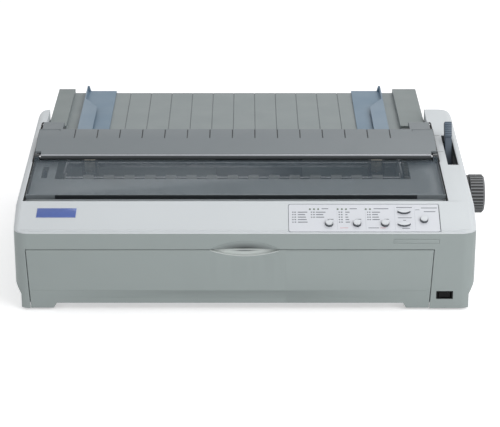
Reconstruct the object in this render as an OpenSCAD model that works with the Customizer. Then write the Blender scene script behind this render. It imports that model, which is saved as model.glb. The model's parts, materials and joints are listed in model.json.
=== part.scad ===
// Wide-carriage dot matrix printer: case, hinged covers, paper feed, carriage and push tractor.
// Modules are drawn with X = 0 on the middle of the case, Y = 0 on its front face and Z = 0 on
// the table; place() then moves every piece so that the origin is the middle of the footprint.

/* [Case] */
// Width of the case without the knob
body_w = 610; // [580:1:640]
// Depth of the case without the sheet tray
body_d = 352; // [348:1:372]
// Wall thickness of the case mouldings
wall = 3; // [2.4:0.1:3.6]
// Radius of the upright corners of the case
corner_r = 20; // [12:1:26]
// Radius of the long upper edges of the case
edge_r = 9; // [6:0.5:11]
// Height of the joint between the grey lower case and the pale upper case
seam_z = 109; // [107:0.5:114]
// Rise of the sloping control band above that joint
band_rise = 28; // [26:0.5:31]
// Depth of the sloping control band
band_run = 49; // [46:0.5:54]
// Upward slope of the deck towards the back, in degrees
deck_slope = 6.4; // [5.6:0.1:7.2]
// Height of the rubber feet
foot_h = 3; // [2.4:0.2:5]

/* [Covers] */
// Width of the deck strip left of the covers
strip_left = 11; // [9:0.5:14]
// Width of the deck strip right of the covers, which holds the release lever
strip_right = 36; // [34:0.5:40]
// Depth of the recess that the covers lie in
recess = 9; // [8:0.2:11]
// Thickness of the cover mouldings
cover_t = 2.5; // [2:0.1:3]
// Gap round every cover
cover_gap = 0.8; // [0.5:0.1:1.2]
// Radius of the rounded nose at the front of the paper cover
nose_r = 4.2; // [3.6:0.1:4.8]
// Length of the sheet tray from its front edge to its back edge
tray_len = 144; // [120:1:160]
// Height of the flap in the front of the case
flap_top = 86; // [82:0.5:90]

/* [Paper feed] */
// Distance of the platen axis behind the front face
platen_y = 178; // [174:0.5:182]
// Height of the platen axis
platen_z = 101; // [99:0.5:102]
// Radius of the rubber platen
platen_r = 18; // [16:0.5:19]
// Radius of the platen shaft
shaft_r = 5; // [4:0.25:5.5]
// Radius of the paper advance knob
knob_r = 27; // [22:0.5:30]
// Length of the knob
knob_len = 24; // [18:0.5:28]
// Radius of the bar that the carriage slides on
guide_r = 5; // [4:0.25:5.5]
// Module of the feed gears
gear_m = 1.5; // [1.4:0.05:1.5]

/* [Controls] */
// Radius of the round panel buttons
button_r = 5.2; // [4.4:0.1:6]
// Travel of a panel button
button_travel = 1.2; // [0.8:0.1:1.5]
// Width of the power switch
switch_w = 24; // [20:0.5:26]
// Height of the power switch
switch_h = 13; // [11:0.5:15]

/* [Hidden] */
$fn = 48;

// Small clearances
run = 0.06;      // radial clearance of a shaft or pin in its bearing
slip = 0.3;      // clearance of parts that slide or turn past each other

// Case
half_w = body_w/2;
base_z = foot_h;
lap_h = 4;                       // depth of the locating lip below the joint
tuck = 8;                        // how far the skirt steps in at each side
tuck_top = 36;
tuck_low = 22;
pan_t = 1.2;
deck_tan = tan(deck_slope);
function deck_z(y) = seam_z + band_rise + (y - band_run)*deck_tan;
band_angle = atan2(band_rise, band_run);

// Covers and their recess
cover_x0 = -half_w + strip_left;
cover_x1 = half_w - strip_right;
open_x0 = cover_x0 + 32;         // access opening under the covers
open_x1 = cover_x1 - 41;
open_y0 = platen_y - 43;
recess_y1 = body_d - 46;         // back of the recess that holds the paper cover
lift_gap = 14;                   // finger gap in front of the window flap

// Paper cover (the hump behind the window flap)
nose_y = platen_y;
nose_z = deck_z(nose_y) + 4;
hump_y1 = nose_y + 38;           // end of the front slope of the hump
hump_y2 = nose_y + 69;           // back edge of the hump
hump_z1 = nose_z + 15;
hump_z2 = hump_z1 + (hump_y2 - hump_y1)*deck_tan;
knuckle_w = 7;
nose_x0 = cover_x0 + cover_gap + knuckle_w + 1.7;
nose_x1 = cover_x1 - cover_gap - knuckle_w - 1.7;
pin_r = 1.8;
ear_w = 30;
ear_lift = 1.5;                  // the ears' tops stand this far above the deck
ear_pin_r = 2;
barrel_r = ear_pin_r + 2.4;
ear_y1 = recess_y1 - cover_gap;
ear_pin_y = ear_y1 - barrel_r;
ear_pin_z = deck_z(ear_pin_y) + ear_lift - barrel_r;
pin_len = 12;
groove_pitch = 31.9;
groove_in = 52.8;                // first groove, from the cover's left edge
groove_count = 15;

// Window flap
flap_y0 = band_run + lift_gap;
flap_lift = 1.2;                 // its top face stands this far above the deck

// Sheet tray, drawn level in its own frame and then tilted
tray_y0 = body_d - 21;
tray_z0 = 149;
tray_slope = 3.3;
tray_t = 2.5;
tray_x0 = cover_x0 + 6.5;
tray_x1 = cover_x1 - 5;
bed_x0 = tray_x0 + 25;
bed_x1 = tray_x1 - 36;
tray_pin_y = body_d - 36;
tray_pin_z = 145;
tray_pin_r = 2;
notch_x0 = tray_x0 - 1.5;
notch_x1 = tray_x1 + 1.5;
notch_z = tray_pin_z - 11;
tray_lip = 28;                   // how far the bed reaches forward, under the paper cover
block_h = 6.5;                   // height of the tray's end blocks above its bed
block_lip = 16;                  // how far the end blocks reach forward of the bed's back part
fence_w = 45.5;                  // width of an edge guide's foot
fence_t = 2;
fence_h = 8;
fence_lip = 22;                  // how far they reach forward, under the paper cover
flange_in = 22;                  // width of their upper flange
fence_over = 3;                  // how far the edge guides reach past the tray's back edge
fence_in = 18;                   // rest place of each edge guide inside the tray's bed

// Mechanism frame
frame_t = 2;
frame_x0 = open_x0 + 8;
frame_x1 = open_x1 - 8;
roller_x0 = frame_x0 + 13;
roller_x1 = frame_x1 - 13;
mech_x = (open_x0 + open_x1)/2;
bush_flange = 1.5;
bush_r = shaft_r + 3;
guide_y = platen_y - 56;
guide_z = platen_z - 13;

// Feed gears: platen, reduction pair, motor pinion, idler and tractor
gear_w = 6;
platen_teeth = 30;
small_teeth = 12;
large_teeth = 32;
pinion_teeth = 12;
idler_teeth = 34;
tractor_teeth = 20;
pressure_angle = 22;
backlash = 0.16;                 // share of a tooth's thickness taken off at the pitch circle
gear_x = frame_x1 + frame_t + 3; // first gear plane
gear_x2 = gear_x + gear_w + 2;   // second gear plane
function pitch_r(n) = gear_m*n/2;
function polar_yz(c, r, a) = [c[0] + r*cos(a), c[1] + r*sin(a)];
platen_c = [platen_y, platen_z];
red_angle = -100;
red_c = polar_yz(platen_c, pitch_r(platen_teeth + small_teeth) + 0.1, red_angle);
pin_angle = -25;
pin_c = polar_yz(red_c, pitch_r(large_teeth + pinion_teeth) + 0.1, pin_angle);
idler_angle = 12;
idler_c = polar_yz(platen_c, pitch_r(platen_teeth + idler_teeth) + 0.1, idler_angle);
tractor_angle = 4;
tractor_c = polar_yz(idler_c, pitch_r(idler_teeth + tractor_teeth) + 0.1, tractor_angle);
// Turn of a gear of n2 teeth that meshes at angle a with a gear of n1 teeth turned by t1
function mesh_turn(a, t1, n1, n2) = a + 180 - (0.5 - (a - t1)*n1/360)*360/n2;
red_turn = mesh_turn(red_angle, 0, platen_teeth, small_teeth);
pin_turn = mesh_turn(pin_angle, red_turn, large_teeth, pinion_teeth);
idler_turn = mesh_turn(idler_angle, 0, platen_teeth, idler_teeth);
tractor_turn = mesh_turn(tractor_angle, idler_turn, idler_teeth, tractor_teeth);

// Tractor
square_side = 6;
rail_c = [tractor_c[0] + 8, tractor_c[1] - 26];
rail_r = 3;
tractor_w = 22;
sprocket_r = 10;
tractor_in = 30;                 // rest place of each tractor inside the frames

// Carriage, belt and head
carriage_out = 146;
carriage_x = mech_x + carriage_out; // rest place of the head
carriage_w = 54;
head_w = 34;
belt_y = guide_y - 20;
belt_z = guide_z - 17;
belt_h = 6;
belt_t = 1.3;
pulley_r = 8;
motor_r = 20;
pulley_x0 = frame_x0 + motor_r + 3;
pulley_x1 = frame_x1 - motor_r - 3;
bail_r = 4;
bail_pivot = [platen_y + 24, platen_z + 17];
bail_in = 4;
bail_c = [platen_y + bail_in, platen_z + sqrt(pow(platen_r + bail_r + slip, 2) - bail_in*bail_in)];

// Release lever and the lever for the paper's thickness
lever_w = 9.8;
lever_x = half_w - 16.5;         // middle of its slot
slot_w = 14.5;
slot_y0 = platen_y - 17;
slot_y1 = platen_y + 81;
lever_pivot = [platen_y + 34, platen_z + 17];
lever_lean = 25;
lever_len = 74;
lever_shaft_r = 4;
gap_slot_w = 8;
gap_x = cover_x0 + 17;
gap_pivot = [platen_y - 22, platen_z + 4];
gap_len = 37;

// Control panel
panel_x0 = half_w - 248;
panel_x1 = half_w - 48;
panel_s0 = 3;                    // distance up the band of the panel's lower and upper edges
panel_s1 = 51;
panel_t = 1.2;
button_rise = 4.2;
round_buttons = [[panel_x0 + 53.6, 17], [panel_x0 + 90.3, 17], [panel_x0 + 127.2, 17],
    [panel_x0 + 178.7, 23.5]];
lens_buttons = [[panel_x0 + 152.9, 37], [panel_x0 + 152.1, 15.5]];
lens_w = 17.5;
lens_h = 6.5;

// Front flap
front_x0 = -half_w + 16;
front_x1 = half_w - 56;
front_z0 = 10;
front_t = 3;
front_pin = [7, 16];
front_pin_r = 2;
front_lugs = [front_x0 + 50, front_x1 - 62];
foot_w = 35;                     // width of the corner feet of the front flap
scoop_w = 93;                    // width of the finger scoop
scoop_rise = 12;                 // height of its arch in the case above the flap
scoop_dip = 8;                   // depth of the dish in the flap's top edge
scoop_deep = 9;                  // depth of the scoop in the case
dish_deep = 7;                   // and in the flap
scoop_wall = 1.5;
front_lean = 4;                  // how far the flap's ends lean in at the bottom

// Power switch
switch_x = half_w - 40.5;
switch_z = 22;

// Overall box
knob_x0 = half_w + 5;
right_reach = knob_x0 + knob_len;
tray_back = tray_y0 + (tray_len + fence_over)*cos(tray_slope) + tray_t*sin(tray_slope);

module place() {
    translate([-(right_reach - half_w)/2, -tray_back/2, 0]) children();
}

// ---------- drawing helpers ----------

// A prism whose outline is given as [y, z] and which runs along X
module yz_prism(pts, x0, x1) {
    translate([x0, 0, 0]) rotate([90, 0, 90]) linear_extrude(x1 - x0) polygon(pts);
}

// A prism whose outline is given as [x, z] and which runs along Y
module xz_prism(pts, y0, y1) {
    translate([0, y1, 0]) rotate([90, 0, 0]) linear_extrude(y1 - y0) polygon(pts);
}

module box(x0, x1, y0, y1, z0, z1) {
    translate([x0, y0, z0]) cube([x1 - x0, y1 - y0, z1 - z0]);
}

module x_cyl(r, x0, x1, c) {
    translate([x0, c[0], c[1]]) rotate([0, 90, 0]) cylinder(r = r, h = x1 - x0);
}

module z_cyl(r, x, y, z0, z1) {
    translate([x, y, z0]) cylinder(r = r, h = z1 - z0);
}

module rounded_plan(x0, x1, y0, y1, r) {
    translate([x0 + r, y0]) square([x1 - x0 - 2*r, y1 - y0]);
    translate([x0, y0 + r]) square([x1 - x0, y1 - y0 - 2*r]);
    for (x = [x0 + r, x1 - r], y = [y0 + r, y1 - r]) translate([x, y]) circle(r = r);
}

// The case's plan, drawn in from its outer face by "inset"
module case_plan(inset) {
    rounded_plan(-half_w + inset, half_w - inset, inset, body_d - inset,
        corner_r - min(inset, corner_r - 2));
}

// A cut into the front wall with a straight edge at height z and an arc "rise" above it, or
// below it where rise is negative
module scoop_cut(z, rise, deep) {
    h = abs(rise);
    big = (scoop_w*scoop_w/4 + h*h)/(2*h);
    up = sign(rise);
    intersection() {
        translate([0, deep + 1, z - up*(big - h)]) rotate([90, 0, 0])
            cylinder(r = big, h = deep + 3, $fn = 96);
        box(-scoop_w/2, scoop_w/2, -1, deep, min(z - up*0.5, z + rise*1.5), max(z - up*0.5, z + rise*1.5));
    }
}

// A spot on the sloping band: x across, s up the slope, then out along its normal
module on_band(x, s) {
    translate([x, s*cos(band_angle), seam_z + s*sin(band_angle)]) rotate([band_angle, 0, 0]) children();
}

// Tray frame: Y runs back along the tray's top face and Z stands on it
module on_tray() {
    translate([0, tray_y0, tray_z0 + tray_t]) rotate([tray_slope, 0, 0]) children();
}

// ---------- gears ----------

function involute(a) = tan(a)*180/PI - a;
function tooth_half(n, r) =
    let (base = pitch_r(n)*cos(pressure_angle))
    90/n*(1 - backlash) + involute(pressure_angle) - involute(acos(min(1, base/r)));
function flank_radii(n) =
    let (lo = max(pitch_r(n)*cos(pressure_angle), pitch_r(n) - gear_m*1.1), hi = pitch_r(n) + gear_m*0.85)
    [for (k = [0:3]) lo + (hi - lo)*k/3];
function gear_points(n, turn) = [
    for (i = [0:n - 1])
        let (mid = turn + i*360/n, radii = flank_radii(n), root = pitch_r(n) - gear_m*1.2)
        for (p = concat(
            [[root, mid - tooth_half(n, radii[0])]],
            [for (r = radii) [r, mid - tooth_half(n, r)]],
            [for (k = [3:-1:0]) [radii[k], mid + tooth_half(n, radii[k])]],
            [[root, mid + tooth_half(n, radii[0])]]
        )) [p[0]*cos(p[1]), p[0]*sin(p[1])]
];

module x_gear(n, turn, c, x0, width, bore) {
    translate([x0, c[0], c[1]]) rotate([90, 0, 90]) difference() {
        linear_extrude(width) polygon(gear_points(n, turn));
        translate([0, 0, -1]) cylinder(r = bore, h = width + 2);
    }
}

// ---------- case ----------

// Front view of the case's outline, drawn in by "inset"
function case_front(inset, top) = [
    [-half_w + tuck + inset, base_z - 1], [half_w - tuck - inset, base_z - 1],
    [half_w - tuck - inset, tuck_low], [half_w - inset, tuck_top],
    [half_w - inset, top], [-half_w + inset, top],
    [-half_w + inset, tuck_top], [-half_w + tuck + inset, tuck_low]
];

module lower_shell(inset, z0, z1) {
    intersection() {
        translate([0, 0, z0]) linear_extrude(z1 - z0) case_plan(inset);
        xz_prism(case_front(inset, z1 + 1), -1, body_d + 1);
    }
}

boss_r = 5;
screw_r = 1.5;
boss_spots = [
    for (x = [-half_w + tuck + wall + 6, half_w - tuck - wall - 6],
        y = [wall + 26, body_d - wall - 22]) [x, y]
];
vent_count = 14;
vent_x0 = -40;

module lower_case() {
    color([0.58, 0.61, 0.61]) difference() {
        union() {
            difference() {
                lower_shell(0, base_z, seam_z);
                lower_shell(wall, base_z - 1, seam_z + 1);
            }
            // lining of the finger scoop
            box(-scoop_w/2 - 1, scoop_w/2 + 1, wall - 0.5, scoop_deep + scoop_wall,
                flap_top + cover_gap, flap_top + cover_gap + scoop_rise + scoop_wall);
            for (b = boss_spots) {
                z_cyl(boss_r, b[0], b[1], base_z + pan_t, 30);
                side = b[0] > 0 ? 1 : -1;
                box(min(b[0], side*(half_w - tuck - 1)), max(b[0], side*(half_w - tuck - 1)),
                    b[1] - 1.5, b[1] + 1.5, base_z + pan_t, 20);
            }
        }
        // opening for the front flap, which leaves the right pillar and the strip under the band
        xz_prism([[front_x0, flap_top + cover_gap], [front_x1, flap_top + cover_gap],
            [front_x1 - front_lean, base_z - 1], [front_x0 + front_lean, base_z - 1]], -1, wall + 1);
        // finger scoop above the front flap
        scoop_cut(flap_top + cover_gap, scoop_rise, scoop_deep);
        // power switch
        box(switch_x - switch_w/2 + 1, switch_x + switch_w/2 - 1, -1, wall + 1,
            switch_z - switch_h/2 + 1, switch_z + switch_h/2 - 1);
        // shallow place for a name strip
        box(half_w - 110, half_w - 50, -1, 0.6, seam_z - 13.5, seam_z - 7.5);
        // platen shaft
        x_cyl(shaft_r + 1.5, half_w - wall - 1, half_w + 1, platen_c);
        for (b = boss_spots) z_cyl(screw_r, b[0], b[1], base_z, 24);
        // rear: power inlet, ports and vents
        box(inlet_x - 14, inlet_x + 14, body_d - wall - 1, body_d + 1, inlet_z - 10, inlet_z + 10);
        box(port_x - 32, port_x + 32, body_d - wall - 1, body_d + 1, port_z - 7, port_z + 7);
        box(usb_x - 6.5, usb_x + 6.5, body_d - wall - 1, body_d + 1, port_z - 6, port_z + 6);
        for (i = [0:vent_count - 1])
            box(vent_x0 + i*9, vent_x0 + 4 + i*9, body_d - wall - 1, body_d + 1, 62, 92);
    }
}
inlet_x = -half_w + 95;
inlet_z = 32;
port_x = half_w - 155;
usb_x = port_x - 60;
port_z = 30;

rear_cut_z = 122;                // top of the back wall where paper passes under the tray

// A long block with rounded upper edges, whose top lies "inset" below Z = 0 and runs along Y
module edge_block(inset) {
    w = half_w - inset;
    r = edge_r - inset;
    deep = 400;
    translate([0, 500, 0]) rotate([90, 0, 0]) linear_extrude(700) {
        translate([-w, -deep]) square([2*w, deep - inset - r]);
        translate([-w + r, -deep]) square([2*(w - r), deep - inset]);
        for (x = [-w + r, w - r]) translate([x, -inset - r]) circle(r = r);
    }
}

module upper_block(inset, bottom) {
    intersection() {
        translate([0, 0, bottom]) linear_extrude(120) case_plan(inset);
        translate([0, band_run, deck_z(band_run)]) rotate([deck_slope, 0, 0]) edge_block(inset);
        translate([0, 0, seam_z]) rotate([band_angle, 0, 0]) edge_block(inset);
    }
}

// Everything between a surface parallel to the deck at "drop" below it and a high level
module above_deck(drop, x0, x1, y0, y1) {
    yz_prism([[y0, deck_z(y0) - drop], [y1, deck_z(y1) - drop], [y1, 220], [y0, 220]], x0, x1);
}

module below_deck(drop, thick, x0, x1, y0, y1) {
    yz_prism([[y0, deck_z(y0) - drop], [y1, deck_z(y1) - drop],
        [y1, deck_z(y1) - drop - thick], [y0, deck_z(y0) - drop - thick]], x0, x1);
}

module upper_case() {
    color([0.84, 0.86, 0.88]) difference() {
        union() {
            difference() {
                upper_block(0, seam_z);
                upper_block(wall, seam_z - 1);
            }
            // locating lip inside the lower case
            translate([0, 0, seam_z - lap_h]) linear_extrude(lap_h + 4) difference() {
                case_plan(wall + 0.2);
                case_plan(wall + 1.8);
            }
            // recess floor and its walls
            intersection() {
                upper_block(1, seam_z);
                difference() {
                    below_deck(0, recess + wall, cover_x0 - cover_gap - wall, cover_x1 + cover_gap + wall,
                        band_run - 2, recess_y1 + wall);
                    above_deck(recess, cover_x0 - cover_gap, cover_x1 + cover_gap, band_run, recess_y1);
                }
            }
            // lining of the notch that holds the tray
            intersection() {
                upper_block(1, seam_z);
                box(notch_x0 - wall, notch_x1 + wall, recess_y1, body_d - 1, notch_z - wall, 220);
            }
            // well of the release lever
            below_deck(0, 12, lever_x - slot_w/2 - 1.5, lever_x + slot_w/2 + 1.5, slot_y0 - 1.5,
                slot_y1 + 1.5);
        }
        // recess
        above_deck(recess, cover_x0 - cover_gap, cover_x1 + cover_gap, band_run, recess_y1);
        // access opening
        box(open_x0, open_x1, open_y0, body_d - wall - 1, seam_z + wall, 220);
        // room for the tray, down to the paper entry over the back wall
        box(notch_x0, notch_x1, recess_y1 - 1, body_d + 1, notch_z, 220);
        box(open_x0, open_x1, body_d - wall - 2, body_d + 1, rear_cut_z, 220);
        // gap for fingers in front of the window flap
        box(cover_x0 + 13, cover_x1 - 13, band_run + 2, flap_y0 - 1, seam_z + wall, 220);
        // slots of the two levers
        box(lever_x - slot_w/2, lever_x + slot_w/2, slot_y0, slot_y1, seam_z + 3, 220);
        box(gap_x - gap_slot_w/2, gap_x + gap_slot_w/2, gap_pivot[0] - 18, gap_pivot[0] + 24,
            seam_z + 3, 220);
        // panel plate and its buttons
        on_band((panel_x0 + panel_x1)/2, (panel_s0 + panel_s1)/2)
            translate([-(panel_x1 - panel_x0)/2, -(panel_s1 - panel_s0)/2, -panel_t])
            cube([panel_x1 - panel_x0, panel_s1 - panel_s0, 10]);
        for (b = round_buttons) on_band(b[0], b[1]) translate([0, 0, -12])
            cylinder(r = button_r + slip, h = 14);
        for (b = lens_buttons) on_band(b[0], b[1]) translate([0, 0, -12]) lens_button(slip, 14);
        // the locating lip is open at the platen shaft
        x_cyl(shaft_r + 1.5, half_w - wall - 4, half_w + 1, platen_c);
        // pin holes of the paper cover and the tray
        for (x = [cover_x0 - cover_gap - wall, cover_x1 + cover_gap - 1])
            x_cyl(ear_pin_r, x, x + wall + 1, [ear_pin_y, ear_pin_z]);
        for (x = [notch_x0 - wall, notch_x1 - 1])
            x_cyl(tray_pin_r, x, x + wall + 1, [tray_pin_y, tray_pin_z]);
    }
    // stud of the release lever, on the right wall
    color([0.84, 0.86, 0.88]) x_cyl(lever_shaft_r, lever_x - lever_w/2 - 1, half_w - wall - 0.4,
        lever_pivot);
}

module base_pan() {
    color([0.66, 0.68, 0.70]) difference() {
        translate([0, 0, base_z]) linear_extrude(pan_t)
            rounded_plan(-half_w + tuck + wall + 0.4, half_w - tuck - wall - 0.4, wall + 17,
                body_d - wall - 0.4, 10);
        for (b = boss_spots) z_cyl(screw_r + 0.4, b[0], b[1], base_z - 1, base_z + pan_t + 1);
    }
    // ears that carry the front flap's hinge pins
    color([0.66, 0.68, 0.70]) for (x = front_lugs) difference() {
        union() {
            x_cyl(lug_r, x, x + lug_w, front_pin);
            yz_prism([[front_pin[0], front_pin[1] - lug_r + 0.3],
                [front_pin[0], front_pin[1] + lug_r - 0.3],
                [wall + 13, front_pin[1] + lug_r - 0.3], [wall + 22, base_z + pan_t], [wall + 22, base_z],
                [wall + 15, base_z], [wall + 15, front_pin[1] - lug_r - 1.5]], x, x + lug_w);
        }
        x_cyl(front_pin_r, x - 1, x + lug_w + 1, front_pin);
    }
}
lug_w = 4;
lug_r = 3.7;

foot_r = 10;
module rubber_feet() {
    color([0.12, 0.12, 0.13])
        for (x = [-half_w + 46, half_w - 46], y = [38, body_d - 44]) z_cyl(foot_r, x, y, 0, base_z);
}

module base_screws() {
    color([0.72, 0.72, 0.74]) for (b = boss_spots) {
        z_cyl(screw_r - 0.1, b[0], b[1], base_z - 0.5, 22);
        z_cyl(3.2, b[0], b[1], base_z - 1.8, base_z - 0.02);
    }
}

module hinge_pins() {
    color([0.75, 0.75, 0.78]) {
        for (x = [cover_x0 - cover_gap - wall, cover_x1 + cover_gap + wall - pin_len])
            x_cyl(ear_pin_r, x, x + pin_len, [ear_pin_y, ear_pin_z]);
        for (x = [notch_x0 - wall, notch_x1 + wall - pin_len])
            x_cyl(tray_pin_r, x, x + pin_len, [tray_pin_y, tray_pin_z]);
        for (x = front_lugs) x_cyl(front_pin_r, x, x + pin_len, front_pin);
    }
}

// ---------- control panel ----------

// A lens-shaped prism, larger by "grow" all round
module lens_button(grow, h) {
    a = lens_w/2 + grow;
    b = lens_h/2 + grow;
    big = (a*a + b*b)/(2*b);
    linear_extrude(h) intersection() {
        translate([0, b - big]) circle(r = big, $fn = 96);
        translate([0, big - b]) circle(r = big, $fn = 96);
    }
}

module panel_plate() {
    fit = 0.15;
    color([0.88, 0.89, 0.91]) difference() {
        on_band(0, 0) translate([0, 0, -panel_t]) linear_extrude(panel_t)
            rounded_plan(panel_x0 + fit, panel_x1 - fit, panel_s0 + fit, panel_s1 - fit, 3);
        for (b = round_buttons) on_band(b[0], b[1]) translate([0, 0, -5])
            cylinder(r = button_r + slip, h = 8);
        for (b = lens_buttons) on_band(b[0], b[1]) translate([0, 0, -5]) lens_button(slip, 8);
        for (x = lamp_x) on_band(x, lamp_s) translate([0, 0, -5]) cylinder(r = lamp_r, h = 8);
    }
}
lamp_r = 1.3;
lamp_s = 42;
lamp_x = [for (x = [28.8, 34.3, 39.8, 65.6, 71.1, 76.6, 102.8, 108.3]) panel_x0 + x];

module panel_lamps() {
    color([0.55, 0.75, 0.45])
        for (x = lamp_x) on_band(x, lamp_s) translate([0, 0, -panel_t])
            cylinder(r = lamp_r, h = panel_t + 0.4);
}

badge_x = -half_w + 28;
badge_w = 52;
badge_lean = 2;
module badge_plate() {
    color([0.33, 0.41, 0.69]) on_band(badge_x, 0) linear_extrude(0.8)
        polygon([[0, 27.6], [badge_w, 27.6], [badge_w + badge_lean, 43.3], [badge_lean, 43.3]]);
}

board_drop = 9;                  // depth of the panel's circuit board below the band
module panel_board() {
    color([0.15, 0.42, 0.28]) on_band(0, 0) {
        translate([panel_x0 + 3, panel_s0 + 2, -board_drop - 1.6])
            cube([panel_x1 - panel_x0 - 6, panel_s1 - panel_s0 - 6, 1.6]);
        for (x = [panel_x0 + 6, panel_x1 - 6], s = [panel_s0 + 6, panel_s1 - 8])
            translate([x, s, -board_drop]) cylinder(r = 2.2, h = board_drop - wall*1.2);
        for (b = concat(round_buttons, lens_buttons))
            translate([b[0], b[1], -board_drop])
                cylinder(r = 2.5, h = board_drop - stem_low - button_travel - 0.2);
    }
}

stem_low = 6;                    // reach of a button's stem below the band
module button_skirt() {
    translate([0, 0, -5]) children();
    translate([0, 0, -stem_low]) cylinder(r = 2, h = stem_low - 4);
}

module round_button(b) {
    color([0.80, 0.82, 0.84]) on_band(b[0], b[1]) {
        translate([0, 0, -5]) cylinder(r = button_r, h = 5 + button_rise - 1);
        translate([0, 0, button_rise - 1]) cylinder(r1 = button_r, r2 = button_r - 1, h = 1);
        button_skirt() cylinder(r = button_r + 1.2, h = 1);
    }
}

module oval_button(b) {
    color([0.80, 0.82, 0.84]) on_band(b[0], b[1]) {
        translate([0, 0, -5]) lens_button(0, 5 + button_rise - 1);
        button_skirt() lens_button(1.2, 1);
    }
}

module button_eject() { round_button(round_buttons[0]); }
module button_pause() { round_button(round_buttons[1]); }
module button_font() { round_button(round_buttons[2]); }
module button_load() { round_button(round_buttons[3]); }
module button_feed_up() { oval_button(lens_buttons[0]); }
module button_feed_down() { oval_button(lens_buttons[1]); }

// ---------- power switch ----------

switch_wall = 2;
rocker_y = 7;                    // depth of the rocker's axle
rocker_pin_r = 1.2;
module switch_body() {
    w = switch_w/2;
    h = switch_h/2;
    color([0.13, 0.13, 0.14]) difference() {
        box(switch_x - w + 1.2, switch_x + w - 1.2, 0, 22, switch_z - h + 1.2, switch_z + h - 1.2);
        box(switch_x - w + switch_wall + 1, switch_x + w - switch_wall - 1, -1, 14,
            switch_z - h + switch_wall, switch_z + h - switch_wall);
        z_cyl(rocker_pin_r + run, switch_x, rocker_y, switch_z - h, switch_z + h);
    }
}

module power_rocker() {
    w = switch_w/2 - switch_wall - 2.1;
    h = switch_h/2 - switch_wall - slip;
    color([0.18, 0.18, 0.19]) {
        translate([switch_x, 0, switch_z - h]) linear_extrude(2*h)
            polygon([[-w, 0.6], [-w*0.5, 1.6], [0, 2], [w*0.5, 1.9], [w, 1.5], [w - 1, 8],
                [2.5, 9.5], [-2.5, 9.5], [1 - w, 8]]);
        z_cyl(rocker_pin_r, switch_x, rocker_y, switch_z - h - 0.8, switch_z + h + 0.8);
    }
}

// ---------- covers ----------

module front_cover() {
    gap = cover_gap;
    color([0.59, 0.62, 0.62]) {
        difference() {
            union() {
                intersection() {
                    yz_prism([[0, flap_top], [front_t, flap_top], [front_t, base_z], [1.4, base_z],
                        [0.6, 28], [0, 29]],
                        front_x0 - 1, front_x1 + 1);
                    xz_prism([
                        [front_x0 + gap, flap_top], [front_x1 - gap, flap_top],
                        [front_x1 - gap - front_lean, base_z], [front_x1 - foot_w, base_z],
                        [front_x1 - foot_w - 4, front_z0], [front_x0 + foot_w + 4, front_z0],
                        [front_x0 + foot_w, base_z], [front_x0 + gap + front_lean, base_z]
                    ], -1, front_t + 1);
                    lower_shell(0, base_z, seam_z);
                }
                // lining of the dish
                box(-scoop_w/2 - 1, scoop_w/2 + 1, front_t - 0.5, dish_deep + scoop_wall,
                    flap_top - scoop_dip - scoop_wall, flap_top);
            }
            scoop_cut(flap_top, -scoop_dip, dish_deep);
        }
        // hinge lugs
        for (x = front_lugs) difference() {
            box(x + lug_w + slip, x + pin_len, front_t - 1, front_pin[0] + 4, front_pin[1] - 4,
                front_pin[1] + 4);
            x_cyl(front_pin_r + run, x, x + pin_len + 1, front_pin);
        }
    }
}

function hump_line(drop) = [
    [nose_y, nose_z + nose_r - drop], [hump_y1, hump_z1 - drop], [hump_y2, hump_z2 - drop]
];
skirt_drop = recess - 3;         // how far the covers' skirts hang below the deck

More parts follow.
